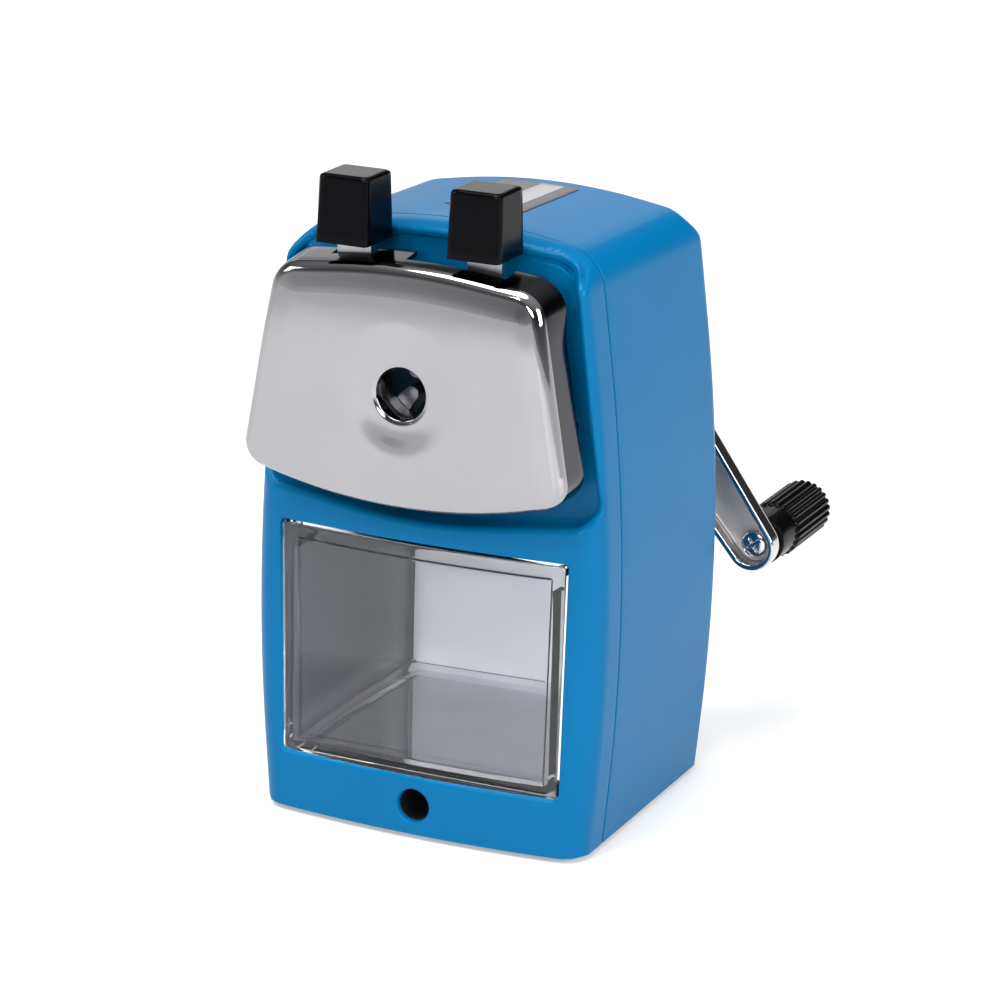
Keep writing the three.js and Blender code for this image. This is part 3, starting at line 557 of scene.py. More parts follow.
# ------------------------------------------------------------------ small turned and moulded pieces
def turned_hole(profile, x, z, segments):
    """The inside of a hole about the Y axis, through (radius, y) corners eased by tiny chamfers."""
    corners = [np.array(q, float) for q in profile]
    line = [corners[0]]
    for before, q, after in zip(corners, corners[1:], corners[2:]):
        a, b = before - q, after - q
        la, lb = np.linalg.norm(a), np.linalg.norm(b)
        cut = min(0.12, la * 0.45, lb * 0.45)
        start, end = q + a / la * cut, q + b / lb * cut
        line += [(1 - t) ** 2 * start + 2 * t * (1 - t) * q + t ** 2 * end for t in np.linspace(0, 1, 4)]
    line = np.array(line + [corners[-1]])
    along = np.gradient(line, axis=0)
    facing = unit(np.stack([-along[:, 1], along[:, 0]], 1))
    t = np.arange(segments) * 2 * math.pi / segments

    def spun(profile, x=0.0, z=0.0):
        return np.array([np.stack([x + r * np.cos(t), np.full(segments, y), z + r * np.sin(t)], 1) for r, y in profile])

    return strip(spun(line, x, z), spun(facing))


def stacked(rings):
    """Joins rings of points (same count) into a skin and closes its ends with fans."""
    g = np.array(rings)
    centre = g.mean((0, 1))
    patches = [grid_patch(g, True, centre)]
    for ring in (g[-1], g[0]):
        middle = ring.mean(0)
        direction = unit(np.cross(ring[1] - ring[0], ring[len(ring) // 3] - ring[0]))
        if direction @ (middle - centre) < 0:
            direction = -direction
        patches.append(fan(ring, middle, direction))
    return patches


# ------------------------------------------------------------------ face plate
PLATE_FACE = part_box("faceplate")[0].y * 1000 - FRONT_Y
PLATE_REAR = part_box("faceplate")[1].y * 1000 - FRONT_Y
PLATE_EDGE = 1.9  # radius of the rolled edge
PLATE_DRAFT = 0.9  # how far the upper wall leans outwards
PLATE_HOLE = 4.65


def plate_height(q):
    v, _ = distance_to(q, PLATE)
    v = np.where(inside(q, PLATE[0]), v, 0)
    crown = 0.75 * (1 - smooth((q[:, 0] / 33) ** 2) * 0.9) * (1 - 0.3 * np.clip((84 - q[:, 1]) / 23, 0, 1) ** 2)
    crown -= 0.0042 * np.maximum(q[:, 1] - 88, 0) ** 2
    r = np.hypot(q[:, 0], q[:, 1] - PENCIL_Z)
    dish = 0.85 * (1 - smooth((r - 4.7) / 7.9)) + 0.3 * (1 - smooth((r - 4.65) / 0.9))
    shoulder = edge_drop(v, PLATE_EDGE) + 0.35 * (1 - smooth((v - 0.6) / 5.0))
    return PLATE_FACE + 0.4 - crown + dish + shoulder


def with_columns(line, columns):
    """Adds points to the upper side of an outline where x equals each column."""
    out = []
    for a, b, na, nb in zip(line[0], np.roll(line[0], -1, 0), line[1], np.roll(line[1], -1, 0)):
        out.append((a, na))
        if a[1] > 95 and b[1] > 95:
            for x in sorted(columns, reverse=True):
                if b[0] < x < a[0]:
                    t = (x - a[0]) / (b[0] - a[0])
                    out.append((a + (b - a) * t, na + (nb - na) * t))
    return np.array([p for p, _ in out]), np.array([n for _, n in out])


def faceplate():
    """The crowned plate with its dished hole, rolled edge and wall, slotted above for the two finger caps."""
    slots = [(-1.6, 17.0, -3.1), (-16.2, -8.4, -2.1)]  # x from, x to, y from
    line = with_columns(PLATE, [x for s in slots for x in s[:2]])
    hole = circle(0, PENCIL_Z, PLATE_HOLE, 56)
    rings = [offset(PLATE, v) for v in (0.2, 0.38, 0.62, 0.95, 1.35, 1.9, 2.8, 4.0, 5.5)]
    for radius in (5.2, 5.6, 6.1, 6.7, 7.4, 8.2, 9.1, 10.0, 10.9, 11.7, 12.4, 13.1, 14.0, 15.2):
        rings.append(circle(0, PENCIL_Z, radius, 72)[0])
    start = offset(line, 0.07)
    pts, tris = fill(start, [offset(hole, -0.3)], 2.0, rings)
    patches = [height_patch(pts, tris, plate_height, -1),
               grid_patch(lip(hole, plate_height, 0.3, 3.2, 4), True, (0, 400, PENCIL_Z))]
    near, far = (edge_drop(np.array([v]), PLATE_EDGE) for v in (0.02, 0.07))
    edge = plate_height(start)
    shoulder = edge - far + PLATE_EDGE
    rows = [xyz(start, edge), xyz(offset(line, 0.02), edge + near - far), xyz(line[0], shoulder)]
    front = shoulder.mean()
    upper = smooth((line[0][:, 1] - 93) / 9)
    marks = [(y, 0) for y in (-4.6, -3.1, -2.1, -0.6, PLATE_REAR - 0.3)]
    for y, inset in marks + [(PLATE_REAR - 0.09, 0.09), (PLATE_REAR, 0.3)]:
        outwards = PLATE_DRAFT * upper * (y - front) / (PLATE_REAR - front)
        rows.append(xyz(line[0] + line[1] * (inset - outwards)[:, None], y))
    verts, faces, normals = grid_patch(rows, True, (0, -3, 84))
    middle = verts[faces].mean(1)
    drop = np.zeros(len(faces), bool)
    for x0, x1, y0 in slots:
        drop |= (middle[:, 2] > 95) & (middle[:, 0] > x0) & (middle[:, 0] < x1) & (middle[:, 1] > y0)
    patches.append((verts, faces[~drop], normals))
    return skin("faceplate_skin", patches, 0.9)


# ------------------------------------------------------------------ finger caps
CAP_FULLER = (0.25, 0.45)  # added to each side, in x and y
CAP_ROUND = 0.75


def finger_cap(name, cad):
    """A square cap that narrows upwards, with softly rounded edges."""
    low, high = (v * 1000 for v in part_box(cad))
    x, y = (low.x + high.x) / 2, (low.y + high.y) / 2 - FRONT_Y
    hx, hy = (high.x - low.x) / 2 + CAP_FULLER[0], (high.y - low.y) / 2 + CAP_FULLER[1]
    bottom, top = low.z, high.z

    def ring(z, inset, rise):
        ax, ay = hx * (1 - 0.07 * rise) - inset, hy * (1 - 0.15 * rise) - inset
        corner = max(0.12, 0.5 - inset * 0.3)
        line = outline([[ax, -ay, corner], [ax, ay, corner], [-ax, ay, corner], [-ax, -ay, corner]], 2.2, 7)[0]
        return np.stack([x + line[:, 0], y + line[:, 1], np.full(len(line), z)], 1)

    def share(z):
        return (z - bottom) / (top - bottom)

    rings = [ring(bottom + 0.2, 0.9, 0), ring(bottom, 0.62, 0), ring(bottom + 0.05, 0.16, 0),
             ring(bottom + 0.25, 0.0, 0.01)]
    for k in range(1, 8):
        z = bottom + 0.25 + (top - CAP_ROUND - bottom - 0.25) * k / 7
        rings.append(ring(z, 0, share(z)))
    for a in QUARTER * np.arange(1, 7) / 6:
        z = top - CAP_ROUND + CAP_ROUND * math.sin(a)
        rings.append(ring(z, CAP_ROUND * (1 - math.cos(a)), share(z)))
    rings += [ring(top, 1.0, 1), ring(top, 2.4, 1)]
    return solid_piece(name, stacked([resample(r, len(rings[5])) for r in rings]))


def resample(ring, count):
    closed = np.vstack([ring, ring[:1]])
    lengths = np.r_[0, np.cumsum(np.linalg.norm(np.diff(closed, axis=0), axis=1))]
    at = np.linspace(0, lengths[-1], count, endpoint=False)
    return np.stack([np.interp(at, lengths, closed[:, i]) for i in range(3)], 1)


# ------------------------------------------------------------------ drawer
def prism(name, loop, y0, y1):
    """A closed prism along y from an outline, as a plain mesh for the booleans below."""
    n = len(loop)
    verts = np.vstack([xyz(loop, y0), xyz(loop, y1)])
    mesh = bpy.data.meshes.new(name)
    faces = [tuple(range(n)), tuple(range(2 * n - 1, n - 1, -1))]
    faces += [(i, n + i, n + (i + 1) % n, (i + 1) % n) for i in range(n)]
    mesh.from_pydata([tuple(v) for v in to_metres(verts)], [], faces)
    bm = bmesh.new()
    bm.from_mesh(mesh)
    bmesh.ops.recalc_face_normals(bm, faces=bm.faces)
    bm.to_mesh(mesh)
    bm.free()
    return add(name, mesh)


def apply_modifiers(obj):
    bpy.context.view_layer.update()
    evaluated = obj.evaluated_get(bpy.context.evaluated_depsgraph_get())
    mesh = bpy.data.meshes.new_from_object(evaluated)
    obj.modifiers.clear()
    obj.data = mesh


def cut(target, other):
    mod = target.modifiers.new("cut", "BOOLEAN")
    mod.operation = "DIFFERENCE"
    mod.object = other
    mod.solver = "EXACT"
    apply_modifiers(target)
    bpy.data.objects.remove(other)


def soften(obj, width, segments):
    """Rounds the sharp edges and shades the piece smoothly."""
    obj.data.polygons.foreach_set("use_smooth", [True] * len(obj.data.polygons))
    mod = obj.modifiers.new("edges", "BEVEL")
    mod.width = width / 1000
    mod.segments = segments
    mod.limit_method = "ANGLE"
    mod.angle_limit = math.radians(35)
    mod.harden_normals = True
    apply_modifiers(obj)
    return obj


PANE_LOW_X, PANE_HIGH_X, PANE_TOP, PANE_RADIUS = 26.9, 27.5, 54.8, 0.6
PANE_REAR = 3.4
BEVEL_OUT, BEVEL_IN, PANEL_DROP = 2.2, 2.9, 0.9


def pane(inset):
    """The clear front's outline moved in by inset, always with the same number of points."""
    x_low, x_high, z_high = PANE_LOW_X, PANE_HIGH_X, PANE_TOP
    z_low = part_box("drawer")[0].z * 1000
    radius = max(0.15, PANE_RADIUS - inset)
    centres = [(x_low, z_low, 1, -1), (x_high, z_high, 1, 1), (-x_high, z_high, -1, 1), (-x_low, z_low, -1, -1)]
    arcs = []
    for quarter, (x, z, right, up) in enumerate(centres, -1):
        t = (quarter + np.linspace(0, 1, 7)) * QUARTER
        centre = np.array([x - right * (inset + radius), z - up * (inset + radius)])
        arcs.append(centre + radius * np.stack([np.cos(t), np.sin(t)], 1))
    points = []
    for arc, following in zip(arcs, arcs[1:] + arcs[:1]):
        points += list(arc)
        points += [arc[-1] + (following[0] - arc[-1]) * k / 32 for k in range(1, 32)]
    return np.array(points)


def drawer_front():
    """The thick clear front: a raised border, a bevel and a slightly sunken panel."""
    sunk = ((BEVEL_IN + 0.8, 1), (BEVEL_IN + 0.3, 1), (BEVEL_IN + 0.06, 1), (BEVEL_IN - 0.06, 0.91),
            (BEVEL_OUT + 0.06, 0.09), (BEVEL_OUT - 0.06, 0), (BEVEL_OUT - 0.3, 0), (0.8, 0))
    steps = [(inset, 0.05 + PANEL_DROP * part) for inset, part in sunk]
    rows = []
    for inset, y in steps + [(0.45, 0.05), (0.2, 0.12), (0.05, 0.3), (0.0, 0.55)]:
        loop = pane(inset)
        rows.append(xyz(loop, bow(loop[:, 0]) + y))
    rows.append(xyz(pane(0), bow(pane(0)[:, 0]) + 0.65))
    for inset, before in ((0, 0.25), (0, 0.15), (0.15, 0), (0.25, 0), (0.5, 0)):
        rows.append(xyz(pane(inset), PANE_REAR - before))
    pts, tris = fill(pane(BEVEL_IN + 0.8), [], 3.0)
    front = height_patch(pts, tris, lambda q: bow(q[:, 0]) + 0.05 + PANEL_DROP, -1)
    back = flat_patch(pane(0.5), 6.0, PANE_REAR, 1)
    return solid_piece("drawer_front", [grid_patch(rows, True, (0, 2, 33)), front, back])


def drawer_tray():
    """The thin clear tray behind the front, open above, with a finger notch in its rear wall."""
    low, high = (v * 1000 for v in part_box("drawer"))
    rear, bottom, top, wall, half = high.y - FRONT_Y, low.z, 50.0, 1.5, 26.2
    outer = outline(mirrored([[half, bottom, 2.6], [half, top, 0]]), 40, 5)[0]
    inner = outline(mirrored([[half - wall, bottom + wall, 1.4], [half - wall, 60.0, 0]]), 40, 5)[0]
    tray = prism("drawer_tray", outer, PANE_REAR + 0.05, rear)
    cut(tray, prism("hollow", inner, 2.0, rear - wall))
    cut(tray, prism("grip_notch", circle(0, 52.0, 7.5, 32)[0], rear - 3, rear + 3))
    return soften(tray, 0.3, 2)


# ------------------------------------------------------------------ crank
CRANK_ANGLE = math.radians(37.9)
CRANK_LENGTH = 56.3
ARM_HUB, ARM_TIP = 7.1, 4.7
GRIP_X = CRANK_LENGTH * math.sin(CRANK_ANGLE)
GRIP_Z = PENCIL_Z - CRANK_LENGTH * math.cos(CRANK_ANGLE)


def arm_outline(inset):
    """Hub and grip ends joined by straight sides, moved in by inset, in x and z."""
    hub, tip = ARM_HUB - inset, ARM_TIP - inset
    lean = math.asin((ARM_HUB - ARM_TIP) / CRANK_LENGTH)

    def arc(radius, first, last, count, drop):
        t = np.linspace(first, last, count)
        return np.stack([radius * np.cos(t), radius * np.sin(t) - drop], 1)

    upper = arc(hub, -lean, math.pi + lean, 33, 0)
    lower = arc(tip, math.pi + lean, 2 * math.pi - lean, 25, CRANK_LENGTH)
    along = (np.arange(1, 24) / 24)[:, None]
    pts = np.vstack([upper, upper[-1] + (lower[0] - upper[-1]) * along,
                     lower, lower[-1] + (upper[0] - lower[-1]) * along])
    c, s = math.cos(CRANK_ANGLE), math.sin(CRANK_ANGLE)
    return np.stack([pts[:, 0] * c - pts[:, 1] * s, pts[:, 0] * s + pts[:, 1] * c + PENCIL_Z], 1)


def crank_arm():
    """A dished arm: a sunken web inside a raised rim, with a rounded back."""
    rim, back_y = 72.0, 76.5
    web = back_y - 1.2
    steps = [(4.0, web), (3.0, web)]
    steps += [(1.1 + 0.8 * (1 - math.sin(a)), web - 0.8 * (1 - math.cos(a))) for a in QUARTER * np.arange(6) / 5]
    steps += [(1.1, rim + 0.35), (1.02, rim + 0.1), (0.8, rim), (0.3, rim), (0.08, rim + 0.1), (0.0, rim + 0.35)]
    steps += [(1.5 * (1 - math.cos(a)), back_y - 1.5 + 1.5 * math.sin(a)) for a in QUARTER * np.arange(7) / 6]
    steps += [(3.0, back_y), (4.0, back_y)]
    g = np.array([xyz(arm_outline(inset), y) for inset, y in steps])
    normals = slopes(g)
    if normals[0].mean(0)[1] > 0:
        normals = -normals
    ends = [flat_patch(ring[:, [0, 2]], 2.2, ring[0, 1], facing) for ring, facing in ((g[0], -1), (g[-1], 1))]
    return solid_piece("crank_arm_skin", [strip(g, normals)] + ends)


def grip():
    """A smooth collar and a ribbed barrel with rounded ribs and a hollow end."""
    low, high = (v * 1000 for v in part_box("grip"))
    y0, y1 = low.y - FRONT_Y, high.y - FRONT_Y
    start = y0 + 6.9
    count = 24 * 10
    t = np.arange(count) * 2 * math.pi / count
    ribs = 0.52 * np.abs(np.sin(12 * t)) ** 0.75
    # radius, y and how far the ribs stand out there
    stations = [(1.7, y0, 0), (4.3, y0, 0), (4.75, y0 + 0.12, 0), (4.9, y0 + 0.45, 0), (4.9, y0 + 3, 0),
                (4.9, start, 0), (4.92, start + 0.15, 0.25), (4.95, start + 0.4, 0.8), (4.95, start + 0.8, 1.0)]
    stations += [(4.95, y, 1.0) for y in np.linspace(start + 2, y1 - 0.9, 6)]
    stations += [(4.93, y1 - 0.4, 0.96), (4.8, y1 - 0.12, 0.85), (4.55, y1, 0.7), (3.5, y1, 0.0), (3.4, y1 - 0.1, 0),
                 (3.38, y1 - 1.3, 0)]
    rows = []
    for radius, y, share in stations:
        r = radius + ribs * share
        rows.append(np.stack([GRIP_X + r * np.cos(t), np.full(count, y), GRIP_Z + r * np.sin(t)], 1))
    g = np.array(rows)
    normals = slopes(g)
    if (normals[6] * (g[6] - np.array([GRIP_X, 0, GRIP_Z])) * [1, 0, 1]).sum() < 0:
        normals = -normals
    hole = turned_hole([(1.7, y0), (1.7, y1 - 3.4), (3.38, y1 - 3.4), (3.38, y1 - 1.3)], GRIP_X, GRIP_Z, count)
    return solid_piece("grip_skin", [strip(g, normals), hole])


def cross_head(name, x, z, y, radius):
    """A domed screw head with a cross recess, facing the front."""
    dome, recess, twist = 0.5, 0.72, 0.6

    def height(q):
        u, v = q[:, 0] - x, q[:, 1] - z
        rr = np.hypot(u, v)
        top = dome * np.sqrt(np.maximum(1 - (rr / radius) ** 2 * 0.96, 0))
        a, b = math.cos(twist), math.sin(twist)
        u, v = np.abs(u * a + v * b), np.abs(-u * b + v * a)

        def bar(length, width):
            return np.maximum(length - radius * 0.66, width - 0.30 * (1 - 0.35 * length / radius))

        arm = np.minimum(bar(u, v), bar(v, u))
        return y - (top - recess * smooth(-arm / 0.14 + 0.3) * (1 - 0.35 * rr / radius))

    rings = [circle(x, z, radius * f, max(16, int(60 * f)))[0] for f in np.linspace(0.1, 0.96, 26)]
    loop = circle(x, z, radius, 64)
    pts, tris = fill(loop[0], [], 0.9, rings)
    rows = [xyz(loop[0], height(loop[0])), xyz(loop[0], y + 0.15), xyz(offset(loop, 0.1), y + 0.45)]
    return solid_piece(name, [height_patch(pts, tris, height, -1), grid_patch(rows, True, (x, y, z))])


# ------------------------------------------------------------------ springs and label
def coil(name, centre, axis, radius, wire, length, turns, dead=1.2):
    """A compression spring of round wire with closed end turns, along an axis from centre."""
    count, sides = int(turns * 26), 10
    axis = np.array(axis, float)
    e1 = np.array([0, 0, 1.0])
    e2 = np.cross(axis, e1)
    turn = turns * np.linspace(0, 1, count)
    theta = 2 * math.pi * turn
    solid = 2 * wire  # pitch of the closed turns
    rate = (length - solid - 2 * dead * solid) / (turns - 2 * dead)
    along = wire + np.where(turn < dead, turn * solid,
                            np.where(turn > turns - dead, length - solid - (turns - turn) * solid,
                                     dead * solid + (turn - dead) * rate))
    out = np.outer(np.cos(theta), e1) + np.outer(np.sin(theta), e2)
    path = np.array(centre) + np.outer(along, axis) + radius * out
    tangent = unit(np.gradient(path, axis=0))
    side = np.cross(tangent, out)
    angles = 2 * math.pi * np.arange(sides) / sides
    normals = np.array([math.cos(a) * out + math.sin(a) * side for a in angles]).transpose(1, 0, 2)
    g = path[:, None] + wire * normals
    ends = [fan(g[0], path[0], -tangent[0]), fan(g[-1], path[-1], tangent[-1])]
    return solid_piece(name, [strip(g, normals)] + ends)


def top_height(q):
    crown = 110.98 - (109 - np.sqrt(109 ** 2 - q[:, 0] ** 2))
    return crown * (1 - FALL * (q[:, 1] - SEAM))


def film(name, corners, lift, thickness):
    """A thin film lying on the crowned top: corners are [x, y, radius]."""
    line = outline(corners, 1.2, 6)
    rim = offset(line, 0.05)
    pts, tris = fill(rim, [], 1.6)

    def lifted(points, height):
        return np.column_stack([points, top_height(points) + height])

    dx, dy = gradient(top_height, pts)
    up = unit(np.stack([-dx, -dy, np.ones(len(pts))], 1))
    top, under = (lifted(pts, lift + thickness), tris, up), (lifted(pts, lift), tris, -up)
    rows = [lifted(rim, lift + thickness), lifted(line[0], lift + thickness * 0.5), lifted(rim, lift)]
    return solid_piece(name, [top, grid_patch(rows, True, np.append(line[0].mean(0), 110)), under])


# ------------------------------------------------------------------ materials
BUMP_DEPTH = 0.0002  # metres


def srgb(r, g, b):
    def linear(c):
        c /= 255
        return c / 12.92 if c <= 0.04045 else ((c + 0.055) / 1.055) ** 2.4
    return (linear(r), linear(g), linear(b), 1)


def material(name, color, rough=0.4, metal=0.0, vary=0.06, scale=220.0, bump=0.0, bump_scale=700.0,
             rough_vary=0.08, **extra):
    """Principled material whose colour, roughness and bump are varied by noise in object space."""
    m = bpy.data.materials.new(name)
    m.use_nodes = True
    nodes, link = m.node_tree.nodes, m.node_tree.links.new
    shader = nodes["Principled BSDF"]
    coords = nodes.new("ShaderNodeTexCoord")

    def settings(node, **values):
        for key, value in values.items():
            node.inputs[key.replace("_", " ")].default_value = value
        return node

    def noise(noise_scale, detail):
        node = settings(nodes.new("ShaderNodeTexNoise"), Scale=noise_scale, Detail=detail)
        link(coords.outputs["Object"], node.inputs["Vector"])
        return node.outputs["Fac"]

    settings(shader, Metallic=metal, **extra)
    broad = noise(scale, 4)
    ramp = nodes.new("ShaderNodeValToRGB")
    dark, light = ramp.color_ramp.elements
    dark.position, light.position = 0.3, 0.7
    dark.color = [c * (1 - vary) for c in color[:3]] + [1]
    light.color = [min(1, c * (1 + vary)) for c in color[:3]] + [1]
    link(broad, ramp.inputs["Fac"])
    link(ramp.outputs["Color"], shader.inputs["Base Color"])
    span = settings(nodes.new("ShaderNodeMapRange"), To_Min=max(0.0, rough - rough_vary / 2),
                    To_Max=min(1.0, rough + rough_vary / 2))
    link(broad, span.inputs["Value"])
    link(span.outputs["Result"], shader.inputs["Roughness"])
    if bump:
        relief = settings(nodes.new("ShaderNodeBump"), Strength=bump, Distance=BUMP_DEPTH)
        link(noise(bump_scale, 3), relief.inputs["Height"])
        link(relief.outputs["Normal"], shader.inputs["Normal"])
    return m


def enabled(sockets, name):
    return next(s for s in sockets if s.enabled and s.name == name)


def blend_node(tree, kind):
    node = tree.nodes.new("ShaderNodeMix")
    node.data_type = kind
    return node


def zone(mat, axis, low, high, tint, rough, metal):
    """Tints the part of a piece between low and high (mm in body y, or x or z) and gives it another finish; on the face
    plate's wall and the bay's side walls the tint is painted reflection and painted shade.
    """
    nodes, link = mat.node_tree.nodes, mat.node_tree.links.new
    coords = next(n for n in nodes if n.bl_idname == "ShaderNodeTexCoord")
    split = nodes.new("ShaderNodeSeparateXYZ")
    near = nodes.new("ShaderNodeMath")
    near.operation = "COMPARE"
    shift = FRONT_Y if axis == "Y" else 0
    middle, half = (low + high) / 2 + shift, (high - low) / 2
    near.inputs[1].default_value, near.inputs[2].default_value = middle / 1000, half / 1000
    link(coords.outputs["Object"], split.inputs["Vector"])
    link(split.outputs[axis], near.inputs[0])
    for socket, value in (("Base Color", (*tint, 1)), ("Roughness", rough), ("Metallic", metal)):
        mix = blend_node(mat.node_tree, "RGBA" if socket == "Base Color" else "FLOAT")
        mix.blend_type = "MULTIPLY" if socket == "Base Color" else "MIX"
        target = nodes["Principled BSDF"].inputs[socket]
        if target.is_linked:
            link(target.links[0].from_socket, enabled(mix.inputs, "A"))
        else:
            enabled(mix.inputs, "A").default_value = target.default_value
        enabled(mix.inputs, "B").default_value = value
        link(near.outputs[0], enabled(mix.inputs, "Factor"))
        link(enabled(mix.outputs, "Result"), target)


def lets_light_through(mat):
    """Lamps shine straight through the plastic, as they nearly do through a thin clear wall."""
    nodes, link = mat.node_tree.nodes, mat.node_tree.links.new
    mix = nodes.new("ShaderNodeMixShader")
    link(nodes.new("ShaderNodeLightPath").outputs["Is Shadow Ray"], mix.inputs["Fac"])
    link(nodes["Principled BSDF"].outputs["BSDF"], mix.inputs[1])
    link(nodes.new("ShaderNodeBsdfTransparent").outputs["BSDF"], mix.inputs[2])
    link(mix.outputs["Shader"], nodes["Material Output"].inputs["Surface"])


PAINT = material("blue_enamel", srgb(0, 93, 140), rough=0.3, vary=0.03, scale=60, bump=0.02, bump_scale=420,
                 rough_vary=0.06, Coat_Weight=0.07, Coat_Roughness=0.03, Specular_IOR_Level=0.05)
CHROME = material("bright_chrome", srgb(196, 196, 199), rough=0.08, metal=1, vary=0.02, scale=90, bump=0.01,
                  bump_scale=300, rough_vary=0.05)
SATIN = material("satin_chrome", srgb(158, 157, 160), rough=0.07, metal=1, vary=0.02, scale=90, bump=0.008,
                 bump_scale=600, rough_vary=0.03)
ARM_CHROME = material("cast_chrome", srgb(196, 196, 199), rough=0.08, metal=1, vary=0.03, scale=140, bump=0.02,
                      bump_scale=420, rough_vary=0.05)
zone(ARM_CHROME, "Y", 75.0, 90.0, (1.0, 0.93, 0.84), 0.24, 0.25)
# painted reflection: the face plate's wall behind its front edge is tinted nearly black for the dark surroundings it
# mirrors; its slightly rougher finish is the metal's own
zone(SATIN, "Y", PLATE_FACE + 2.7, PLATE_REAR + 1, (0.12, 0.12, 0.135), 0.12, 1.0)
STEEL = material("plated_steel", srgb(170, 171, 174), rough=0.3, metal=1, vary=0.07, scale=160, bump=0.04,
                 bump_scale=500, rough_vary=0.14)
BAY = material("bright_sheet", srgb(232, 232, 235), rough=0.22, metal=0.25, vary=0.03, scale=90, bump=0.01,
               bump_scale=260, rough_vary=0.06)
bay_low, bay_high = (v * 1000 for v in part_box("drawer_bay"))
tray_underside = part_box("drawer")[0].z * 1000
zone(BAY, "Z", tray_underside - 1.3, tray_underside - 0.15, (0.98, 0.98, 1.0), 0.04, 0.96)
# painted shade: the bay's side walls are tinted nearly black and given a dull, non-metal finish, for the shadow they
# lie in
for wall in (bay_low.x, bay_high.x):
    zone(BAY, "X", wall - 1.6, wall + 1.6, (0.012, 0.018, 0.04), 0.25, 0.0)
TOOL = material("tool_steel", srgb(120, 121, 124), rough=0.32, metal=1, vary=0.1, scale=300, bump=0.08,
                bump_scale=900, rough_vary=0.15)
WIRE = material("spring_wire", srgb(165, 166, 170), rough=0.22, metal=1, vary=0.05, scale=500, bump=0.03,
                bump_scale=1500)
BRASS = material("turned_brass", srgb(196, 160, 92), rough=0.28, metal=1, vary=0.08, scale=260, bump=0.05,
                 bump_scale=900)
BLACK = material("black_plastic", srgb(4, 4, 6), rough=0.17, vary=0.15, scale=400, bump=0.04, bump_scale=1600,
                 rough_vary=0.08, Specular_IOR_Level=0.07)
RUBBER = material("base_rubber", srgb(30, 30, 31), rough=0.8, vary=0.2, scale=500, bump=0.3, bump_scale=2200)
LABEL = material("label_film", srgb(84, 82, 86), rough=0.38, vary=0.06, scale=500, bump=0.03, bump_scale=2500)
STRIPE = material("label_stripe", srgb(178, 180, 184), rough=0.3, metal=0.6, vary=0.04, scale=600, bump=0.02,
                  bump_scale=2500)
CLEAR = material("clear_plastic", srgb(252, 253, 254), rough=0.02, vary=0.01, scale=80, rough_vary=0.02,
                 Transmission_Weight=1.0, IOR=1.36)
THIN_CLEAR = material("thin_clear_plastic", srgb(247, 248, 250), rough=0.03, vary=0.01, scale=80, rough_vary=0.02,
                      Transmission_Weight=1.0, IOR=1.16)
lets_light_through(CLEAR)
lets_light_through(THIN_CLEAR)

SLOT_MATERIALS = {
    "blue_paint": PAINT, "chrome": CHROME, "plated_steel": STEEL, "spring_steel": WIRE, "tool_steel": TOOL,
    "brass": BRASS, "black_plastic": BLACK, "clear_plastic": CLEAR, "base_rubber": RUBBER, "label": LABEL,
}


def finish(obj, mat, body, slot, *replaced):
    obj.data.materials.clear()
    obj.data.materials.append(mat)
    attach(obj, body)
    if replaced:
        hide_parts(*replaced)
    return obj


finish(front_shell(), PAINT, "housing", "blue_paint", "front_shell")
finish(seam_lip(), PAINT, "housing", "blue_paint")
finish(rear_shell(), PAINT, "housing", "blue_paint", "rear_shell")
finish(faceplate(), SATIN, "carriage", "chrome", "faceplate")
finish(finger_cap("cap_left_skin", "finger_cap_left"), BLACK, "carriage", "black_plastic", "finger_cap_left")
finish(finger_cap("cap_right_skin", "finger_cap_right"), BLACK, "lever", "black_plastic", "finger_cap_right")
finish(drawer_front(), CLEAR, "drawer", "clear_plastic", "drawer")
finish(drawer_tray(), THIN_CLEAR, "drawer", "clear_plastic")
finish(crank_arm(), ARM_CHROME, "crank", "chrome", "crank_arm")
finish(grip(), BLACK, "grip", "black_plastic", "grip")
finish(cross_head("grip_screw_head", GRIP_X, GRIP_Z, 74.2, 2.4), CHROME, "crank", "plated_steel")
for side, sign in (("left", -1), ("right", 1)):
    low, high = (v * 1000 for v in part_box(f"return_spring_{side}"))
    x, z = sign * ROD_X, ROD_Z
    y0, y1 = low.y - FRONT_Y, high.y - FRONT_Y
    spring = coil(f"return_coil_{side}", (x, y0, z), (0, 1, 0), 3.05, 0.36, y1 - y0, 9)
    spring.data.materials.append(WIRE)
    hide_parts(f"return_spring_{side}")
    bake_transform(spring)
low, high = (v * 1000 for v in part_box("lever_spring"))
spring = coil("lever_coil", (low.x, (low.y + high.y) / 2 - FRONT_Y, (low.z + high.z) / 2), (1, 0, 0), 1.15, 0.2,
              high.x - low.x, 7)
finish(spring, WIRE, "carriage", "spring_steel", "lever_spring")
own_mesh(spring)
finish(film("label_base", [[-7.4, 23.4, 0.8], [7.8, 23.4, 0.8], [7.8, 48.8, 0.8], [-7.4, 48.8, 0.8]], 0.04, 0.12),
       LABEL, "housing", "label", "top_label")
finish(film("label_stripe", [[0.6, 24.2, 0.3], [5.2, 24.2, 0.3], [5.2, 48.0, 0.3], [0.6, 48.0, 0.3]], 0.17, 0.05),
       STRIPE, "housing", "label")

# ------------------------------------------------------------------ CAD nodes that stay
SLOTS = {s["node"]: s["material_slot"] for s in frame["record"]["subparts"]}
for name, node in frame["nodes"].items():
    mat = SLOT_MATERIALS[SLOTS[name]]
    if name == "drawer_bay":
        mat = BAY
    for i in range(max(1, len(node.material_slots))):
        if len(node.material_slots) <= i:
            node.data.materials.append(mat)
        node.material_slots[i].material = mat

# ------------------------------------------------------------------ stage, lights and camera
def plane(name, size, mat):
    mesh = bpy.data.meshes.new(name)
    h = size / 2
    mesh.from_pydata([(-h, -h, 0), (h, -h, 0), (h, h, 0), (-h, h, 0)], [], [(0, 1, 2, 3)])
    mesh.materials.append(mat)
    return add(name, mesh)


